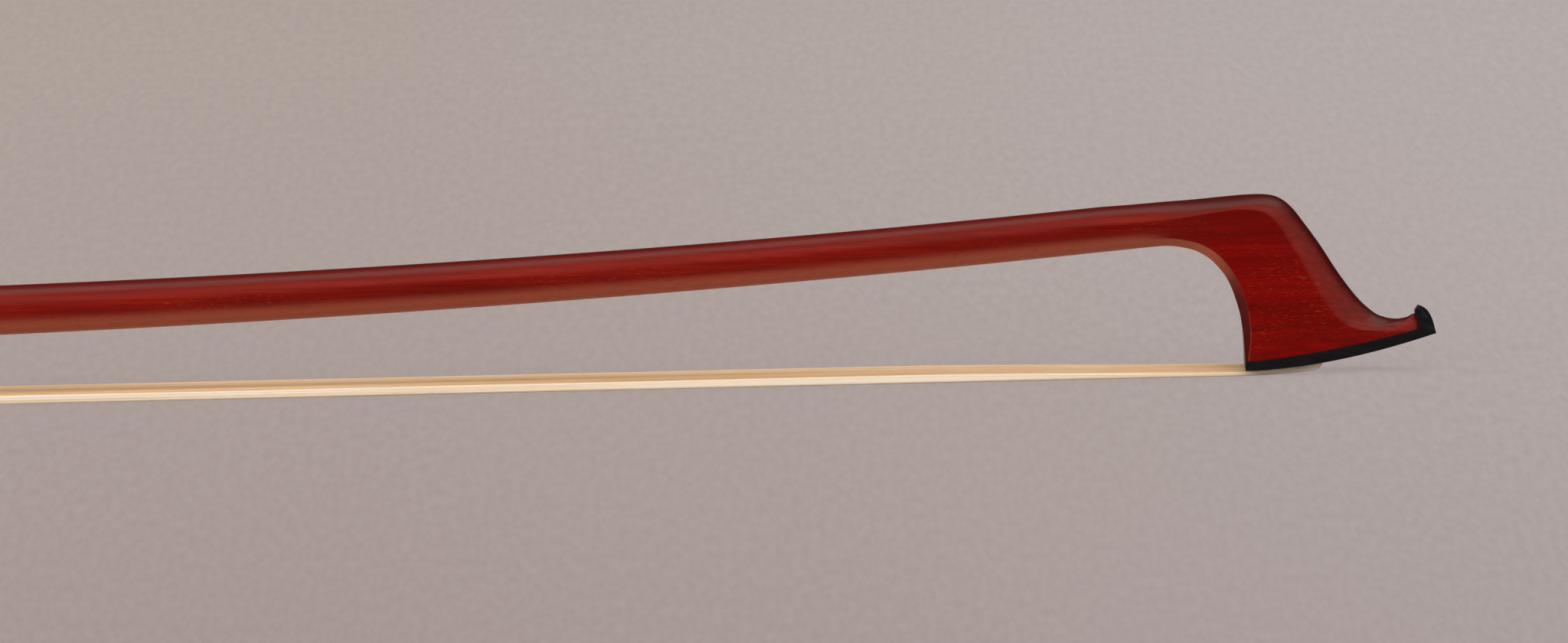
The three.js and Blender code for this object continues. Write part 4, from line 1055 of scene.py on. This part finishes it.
def silk_thread():
    """Dark red silk, twisted fine along each turn of the thread."""
    finish = Finish("silk_thread")
    twist = finish.noise(finish.place(), 5200.0, 3.0)
    dark, middle, light = (0.05, 0.006, 0.010), (0.12, 0.018, 0.028), (0.22, 0.05, 0.06)
    color = finish.ramp(twist, (0.3, dark), (0.5, middle), (0.72, light))
    finish.surface(Base_Color=color, Roughness=finish.range(twist, 0.38, 0.55))
    finish.surface(Sheen_Weight=0.25, Sheen_Roughness=0.4)
    finish.bump(twist, 0.2, 0.00004)
    return finish.material


# Grip and lapping

LEATHER_START = -2.6  # along the handle from the ferrule's mouth
LEATHER_LENGTH = 30
LEATHER_THICKNESS = 1.1
LEATHER_BODY = 0.9  # of the full thickness, beside the seam
LEATHER_END = 0.45  # of it that is left at the pared ends
LEATHER_PARING = 1.3  # length over which an end is pared
LEATHER_OVERLAP = math.radians(38)  # where the leather's pared edge lies on its other edge
LEATHER_SEAM = math.pi * 0.62
LEATHER_LAP = 0.1  # of the thickness, which the lap adds
LEATHER_LAP_EDGE = 0.03  # angle over which the lap rises, in radians
LEATHER_WAVE = 0.012  # of the thickness, by which it is uneven
LEATHER_STEPS = 90
LEATHER_CREASE = 55
LAPPING_START = 27.9
LAPPING_LENGTH = 72
SILK_THICKNESS = 0.35
SILK_PITCH = 0.48
SILK_PITCH_STEPS = 7
SILK_VALLEY, SILK_CREST = 0.55, 0.98  # shares of the thickness between its turns and on them
SILK_POWER = 0.7  # how round a turn is
SILK_INNER_TURNS = 5  # from one section of its smooth inside to the next
SILK_SIDES = 32
SILK_CREASE = 70
TINSEL_DIAMETER = 0.9
TINSEL_TURNS = 24
TINSEL_SIDES = 12
TINSEL_TUCK = 0.35  # of its ends into the silk
TURN_STEPS = 40
SLEEVE_SIDES = 64
KNOT_LEVELS, KNOT_SIDES, KNOT_TURNS = 48, 40, 5
KNOT_CREASE = 60
BOUND_SHARE = 0.7  # of a knot's height that thread binds
THREAD_RIDGE = 0.14  # of a knot's reach
TIP_REACH = 0.98  # of the burnt tip where it is widest
TIP_START = 0.72  # share of the height from which the tip rounds off
TIP_ROUNDNESS = 0.97  # 1 would bring the tip to a point


def tube(name, outer, inner, crease=None):
    """A closed sleeve between outer rings and inner rings."""
    rings = outer + inner[::-1]
    points, faces = skin(rings + [rings[0]], closed=False)
    count = len(rings) * len(rings[0])
    faces = [[i % count for i in face] for face in faces]
    return make_piece(name, points[:count], faces, crease)


def shaped_ring(place, thicknesses):
    """A section round the handle that stands out by a thickness for each of its points."""
    sides = len(thicknesses)
    middle = handle_ring(place, 0, sides)
    outer = handle_ring(place, 1, sides)
    return [a + (b - a) * t for a, b, t in zip(middle, outer, thicknesses)]


def make_grip(seed=3):
    """The leather grip: pared at both ends, its edges lapped in one straight seam behind."""
    draw = random.Random(seed)
    waves = [(draw.uniform(0, 2 * math.pi), draw.uniform(4, 11), draw.randint(1, 5)) for _ in range(5)]
    outer, inner = [], []
    for k in range(LEATHER_STEPS + 1):
        along = k / LEATHER_STEPS * LEATHER_LENGTH
        from_end = min(along, LEATHER_LENGTH - along)
        fullness_share = math.sqrt(clamp(1 - (1 - clamp(from_end / LEATHER_PARING)) ** 2))
        ring = []
        for j in range(SLEEVE_SIDES):
            angle = 2 * math.pi * j / SLEEVE_SIDES
            body = lerp(LEATHER_END, LEATHER_BODY, fullness_share)
            body += LEATHER_WAVE * sum(math.sin(along / l + n * angle + ph) for ph, l, n in waves)
            from_seam = (angle - LEATHER_SEAM) % (2 * math.pi)
            edge = smooth(from_seam / LEATHER_LAP_EDGE)
            lap = LEATHER_LAP * edge * (1 - smooth(from_seam / LEATHER_OVERLAP))
            ring.append(min(LEATHER_THICKNESS * (body + lap), LEATHER_THICKNESS))
        outer.append(shaped_ring(LEATHER_START + along, ring))
        inner.append(shaped_ring(LEATHER_START + along, [SEAT / 2] * SLEEVE_SIDES))
    return tube("leather_grip", outer, inner, LEATHER_CREASE)


def make_silk():
    """The silk thread under the tinsel, wound turn against turn."""
    steps = round(LAPPING_LENGTH / SILK_PITCH * SILK_PITCH_STEPS)
    outer, inner = [], []
    for k in range(steps + 1):
        along = k / steps * LAPPING_LENGTH
        ring = []
        for j in range(SILK_SIDES):
            round_thread = abs(math.sin(math.pi * (along / SILK_PITCH - j / SILK_SIDES)))
            ring.append(SILK_THICKNESS * lerp(SILK_VALLEY, SILK_CREST, round_thread**SILK_POWER))
        outer.append(shaped_ring(LAPPING_START + along, ring))
        if k % (SILK_INNER_TURNS * SILK_PITCH_STEPS) == 0 or k == steps:
            inner.append(shaped_ring(LAPPING_START + along, [SEAT / 2] * SILK_SIDES))
    return tube("silk_winding", outer, inner, SILK_CREASE)


def make_tinsel():
    """The tinsel: one round wire that winds along over the silk, its ends tucked down."""
    first = LAPPING_START + TINSEL_DIAMETER
    last = LAPPING_START + LAPPING_LENGTH - TINSEL_DIAMETER
    steps = TINSEL_TURNS * TURN_STEPS
    path = []
    for k in range(steps + 1):
        share = k / steps
        turn = 2 * math.pi * TINSEL_TURNS * share
        distance = distance_of(lerp(first, last, share))
        tucked = TINSEL_TUCK * (1 - smooth(min(share, 1 - share) * TINSEL_TURNS * 3))
        reach = shaft_radius(distance, 0) + SILK_THICKNESS + TINSEL_DIAMETER / 2 - tucked
        up = Vector((axis_slope(distance), 0, 1)).normalized()
        middle = Vector((HEAD_X - distance, 0, axis_height(distance)))
        point = middle + up * (reach * math.sin(turn)) + ACROSS * (reach * math.cos(turn))
        path.append((point, middle))
    rings = []
    for k, (point, middle) in enumerate(path):
        before, after = path[max(k - 1, 0)][0], path[min(k + 1, steps)][0]
        out = (point - middle).normalized()
        aside = (after - before).normalized().cross(out).normalized()
        radius = TINSEL_DIAMETER / 2 * clamp(min(k, steps - k) / 6, 0.3, 1)
        rings.append(circle(point, aside, out, radius, TINSEL_SIDES))
    return skinned("tinsel", rings)


def knot_reach(rise):
    """How far a knot reaches at a share of its height: ridges of thread, then a burnt round tip."""
    bound = TIP_REACH
    if rise < BOUND_SHARE:
        ridge = abs(math.sin(math.pi * KNOT_TURNS * rise / BOUND_SHARE))
        bound = 1 - THREAD_RIDGE + THREAD_RIDGE * ridge
    over = clamp((rise - TIP_START) / (1 - TIP_START)) * TIP_ROUNDNESS
    return bound * math.sqrt(clamp(1 - over**2))


def make_knot(name, node):
    """The bound end of the hair: turns of thread round it and a burnt, swollen tip."""
    low, high = span(node)
    middle, half = (low + high) / 2, (high - low) / 2
    rings = []
    for k in range(KNOT_LEVELS + 1):
        rise = k / KNOT_LEVELS
        reach = knot_reach(rise)
        ring = []
        for j in range(KNOT_SIDES):
            angle = 2 * math.pi * j / KNOT_SIDES
            along = math.copysign(abs(math.sin(angle)) ** 0.8, math.sin(angle))
            across = math.copysign(abs(math.cos(angle)) ** 0.5, math.cos(angle))
            x, y = middle.x + half.x * along * reach, middle.y + half.y * across * reach
            ring.append(Vector((x, y, lerp(low.z, high.z, rise))))
        rings.append(ring)
    return skinned(name, rings, KNOT_CREASE)


# Frog

CHEEK_DROP = 2.15  # of the cheeks' upper edges under the handle's axis
HOLLOW_CUT = 0.015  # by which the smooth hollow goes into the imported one's flats
# The thumb's hollow from the ferrule up to the cheeks' front: places behind the ferrule's mouth,
# and heights as shares of the frog's.
HOLLOW = [(12.12, 0.3613), (18, 0.4513), (18, 0.70), (9.6, 0.79)]
HOLLOW_STEPS = 60
DRESSED_CREASE, FERRULE_CREASE = 26, 50  # in degrees
SOFT_ANGLE = math.radians(40)  # edges sharper than this are softened
WOOD_SOFTENING = 0.15  # width of the softened edges of black wood


def hollow_point(t):
    """A place on the hollow's curve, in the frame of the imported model."""
    weights = ((1 - t) ** 3, 3 * t * (1 - t) ** 2, 3 * t * t * (1 - t), t**3)
    behind = sum(w * x for w, (x, _) in zip(weights, HOLLOW))
    share = sum(w * z for w, (_, z) in zip(weights, HOLLOW))
    frog_top = axis_height(FREE_HAIR) + HANDLE_SLOPE * behind - CHEEK_DROP
    return MOUTH_X - behind - HOLLOW_CUT, share * frog_top


def make_frog():
    """The frog's body as it is packed, with the thumb's hollow cut to a smooth curve."""
    frog = add_object("frog_wood", bpy.data.objects["frog_body"].data.copy())
    outline = [hollow_point(k / HOLLOW_STEPS) for k in range(HOLLOW_STEPS + 1)]
    outline += [(MOUTH_X, outline[-1][1]), (MOUTH_X, outline[0][1])]
    carve(frog, [prism("hollow_cut", outline, HAIR_FROG_WIDTH)], DRESSED_CREASE)
    return frog


# Dressing


def give_finish(piece, material):
    piece.data.materials.clear()
    piece.data.materials.append(material)


def finish_piece(piece, material, body, node):
    """Gives a piece its finish, slot and body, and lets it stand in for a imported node."""
    give_finish(piece, material)
    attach(piece, body)
    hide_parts(node)


def soften(piece, width):
    soft = piece.modifiers.new("soft_edges", "BEVEL")
    soft.width = width * MM
    soft.segments = 2
    soft.limit_method = "ANGLE"
    soft.angle_limit = SOFT_ANGLE


def dress(node, material, softening, crease=DRESSED_CREASE):
    """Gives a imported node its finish, smooth curves and softened edges."""
    piece = bpy.data.objects[node]
    give_finish(piece, material)
    shade(piece, crease)
    if softening:
        soften(piece, softening)


red = red_wood()
black = ebony()
cream_hair = horsehair("cream_hair", (0.80, 0.60, 0.40), (0.93, 0.79, 0.60), (0.97, 0.89, 0.76))
# A tan copy of the hair: painted shade for the hairs on the ribbon's top.
tan_hair = horsehair("tan_hair", (0.46, 0.27, 0.12), (0.65, 0.42, 0.23), (0.80, 0.57, 0.35))
silver = metal("silver", (0.82, 0.81, 0.78), (0.68, 0.66, 0.61), 0.2, 0.34)
brass = metal("brass", (0.68, 0.47, 0.17), (0.42, 0.27, 0.10), 0.3, 0.45)
steel = metal("steel", (0.46, 0.47, 0.48), (0.30, 0.30, 0.31), 0.28, 0.42)
pearl = nacre()
bare_wood = pale_wood()
leather = grip_leather()
silk = silk_thread()

finish_piece(make_stick(), red, "stick", "stick")
finish_piece(make_face_plate(), black, "stick", "head_plate")

hair_ribbon = make_hair("hair_ribbon", head_stations(), LOOSE_HAIRS, 7)
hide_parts("hair", "hair_head_bend")
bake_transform(hair_ribbon)

frog_hair = make_hair("frog_hair", frog_stations(), LOOSE_HAIRS // 2, 8)
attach(frog_hair, "frog")
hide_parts("hair_frog_bend")

finish_piece(make_knot("head_knot", "hair_head_knot"), silk, "stick", "hair_head_knot")
finish_piece(make_knot("frog_knot", "hair_frog_knot"), silk, "frog", "hair_frog_knot")

frog_wood = make_frog()
soften(frog_wood, WOOD_SOFTENING)
finish_piece(frog_wood, black, "frog", "frog_body")

finish_piece(make_grip(), leather, "stick", "thumb_leather")
finish_piece(make_silk(), silk, "stick", "lapping_base")
finish_piece(make_tinsel(), silver, "stick", "lapping_tinsel")

heel_pins = [f"heel_pin_{k}" for k in (1, 2, 3, 4)]
lining_pins = [f"underslide_pin_{k}" for k in (1, 2)]
collar_pins = [f"{end}_collar_pin_{side}" for end in ("front", "end") for side in ("top", "bottom")]
for dressed_nodes, dressing, softening in (
    (["head_plug", "spread_wedge", "frog_plug"], bare_wood, 0),
    (["slide_base", "button_core"], black, WOOD_SOFTENING),
    (["slide_pearl", "eye_pearl_left", "eye_pearl_right", "button_pearl"], pearl, 0.08),
    (["heel_plate", "underslide", "eye_ring_left", "eye_ring_right"], silver, 0.1),
    (["button_front_collar", "button_end_collar"], silver, 0.1),
    (heel_pins + lining_pins + collar_pins, silver, 0.06),
    (["eyelet"], brass, 0.1),
    (["adjusting_screw"], steel, 0),
):
    for dressed_node in dressed_nodes:
        dress(dressed_node, dressing, softening)
dress("ferrule", silver, 0.1, FERRULE_CREASE)

# Floor and light

SHOWN_SHARE = 0.86  # of the floor's colour that shows whatever the light; the rest takes the shadow
FLOOR_REACH = 40
# Name, azimuth, elevation and distance from the bow, then width, depth, radiance and colour
LAMPS = [
    ("overhead", 0, 96, 0.95, 2.4, 0.55, 3.0, (1, 0.985, 0.99)),
    ("upper_front", 0, 50, 1.2, 2.4, 0.75, 1.5, (1, 1, 1)),
    ("left", -46, 14, 1.35, 1.0, 0.9, 5.2, (1, 0.985, 0.97)),
    ("right", 64, 32, 1.3, 1.1, 1.0, 1.3, (1, 1, 1)),
]


def make_floor():
    """A warm grey paper floor, which the camera sees at its own colour with a soft shadow."""
    corners = [(x * FLOOR_REACH, y * FLOOR_REACH, 0) for x, y in ((-1, -1), (1, -1), (1, 1), (-1, 1))]
    mesh = bpy.data.meshes.new("floor")
    mesh.from_pydata(corners, [], [(0, 1, 2, 3)])
    mesh.materials.append(paper())
    add_object("floor", mesh)


def paper():
    """Warm grey paper with a fine mottle, and painted light: a little lighter far away and towards the
    head.
    """
    finish = Finish("paper")
    place = finish.place()
    parts = finish.parts(place)
    mottle = finish.noise(finish.mapped(place, (1, 0.13, 1)), 850, 5)
    # Painted light: the paper is made lighter far away, and lighter and bluer towards the head.
    away = finish.range(parts["Y"], 0, 1, -0.3, 0.45)
    along = finish.range(parts["X"], 0, 1, 0.2, 0.375)
    color = finish.mix(away, (0.361, 0.293, 0.273), (0.431, 0.365, 0.336))
    painted_light_tint = finish.mix(along, (1, 1, 1), (1.075, 1.13, 1.19))
    color = finish.mix(1.0, color, painted_light_tint, "MULTIPLY")
    speckle = finish.ramp(mottle, (0.34, (0.965, 0.96, 0.96)), (0.66, (1.035, 1.04, 1.04)))
    color = finish.mix(1.0, color, speckle, "MULTIPLY")
    finish.surface(Base_Color=color, Roughness=0.95, Specular_IOR_Level=0.1)
    glow = finish.node("ShaderNodeEmission")
    finish.feed(glow.inputs["Color"], color)
    seen = finish.node("ShaderNodeLightPath").outputs
    rays = seen["Is Camera Ray"]
    for other_rays in ("Is Glossy Ray", "Is Transmission Ray"):
        rays = finish.math("MAXIMUM", rays, seen[other_rays])
    blend = finish.node("ShaderNodeMixShader")
    shown = finish.math("MULTIPLY", rays, SHOWN_SHARE)
    shaders = (shown, finish.shader.outputs["BSDF"], glow.outputs["Emission"])
    for socket, value in zip(blend.inputs, shaders):
        finish.feed(socket, value)
    finish.feed(finish.tree.nodes["Material Output"].inputs["Surface"], blend.outputs["Shader"])
    return finish.material


def around(azimuth, elevation, distance):
    """A place round the bow's middle. Azimuth 0 is in front of it."""
    a, e = math.radians(azimuth), math.radians(elevation)
    return (
        distance * math.sin(a) * math.cos(e),
        -distance * math.cos(a) * math.cos(e),
        distance * math.sin(e),
    )


def soft_light(name, place, width, depth, radiance, color):
    """A large lamp that faces the bow, with the radiance of its surface."""
    data = bpy.data.lights.new(name, "AREA")
    data.shape = "RECTANGLE"
    data.size, data.size_y = width, depth
    data.energy = radiance * math.pi * width * depth
    data.color = color
    light = add_object(name, data)
    light.location = place
    light.rotation_euler = (-Vector(place)).to_track_quat("-Z", "Y").to_euler()
    light.visible_camera = False


def make_world(color, strength):
    world = bpy.data.worlds.new("studio")
    world.use_nodes = True
    back = world.node_tree.nodes["Background"]
    back.inputs["Color"].default_value = (*color, 1)
    back.inputs["Strength"].default_value = strength
    bpy.context.scene.world = world


make_floor()
for lamp, azimuth, elevation, distance, *look in LAMPS:
    soft_light(lamp, around(azimuth, elevation, distance), *look)
make_world((0.80, 0.76, 0.74), 0.06)
bpy.context.scene.view_settings.view_transform = "Standard"
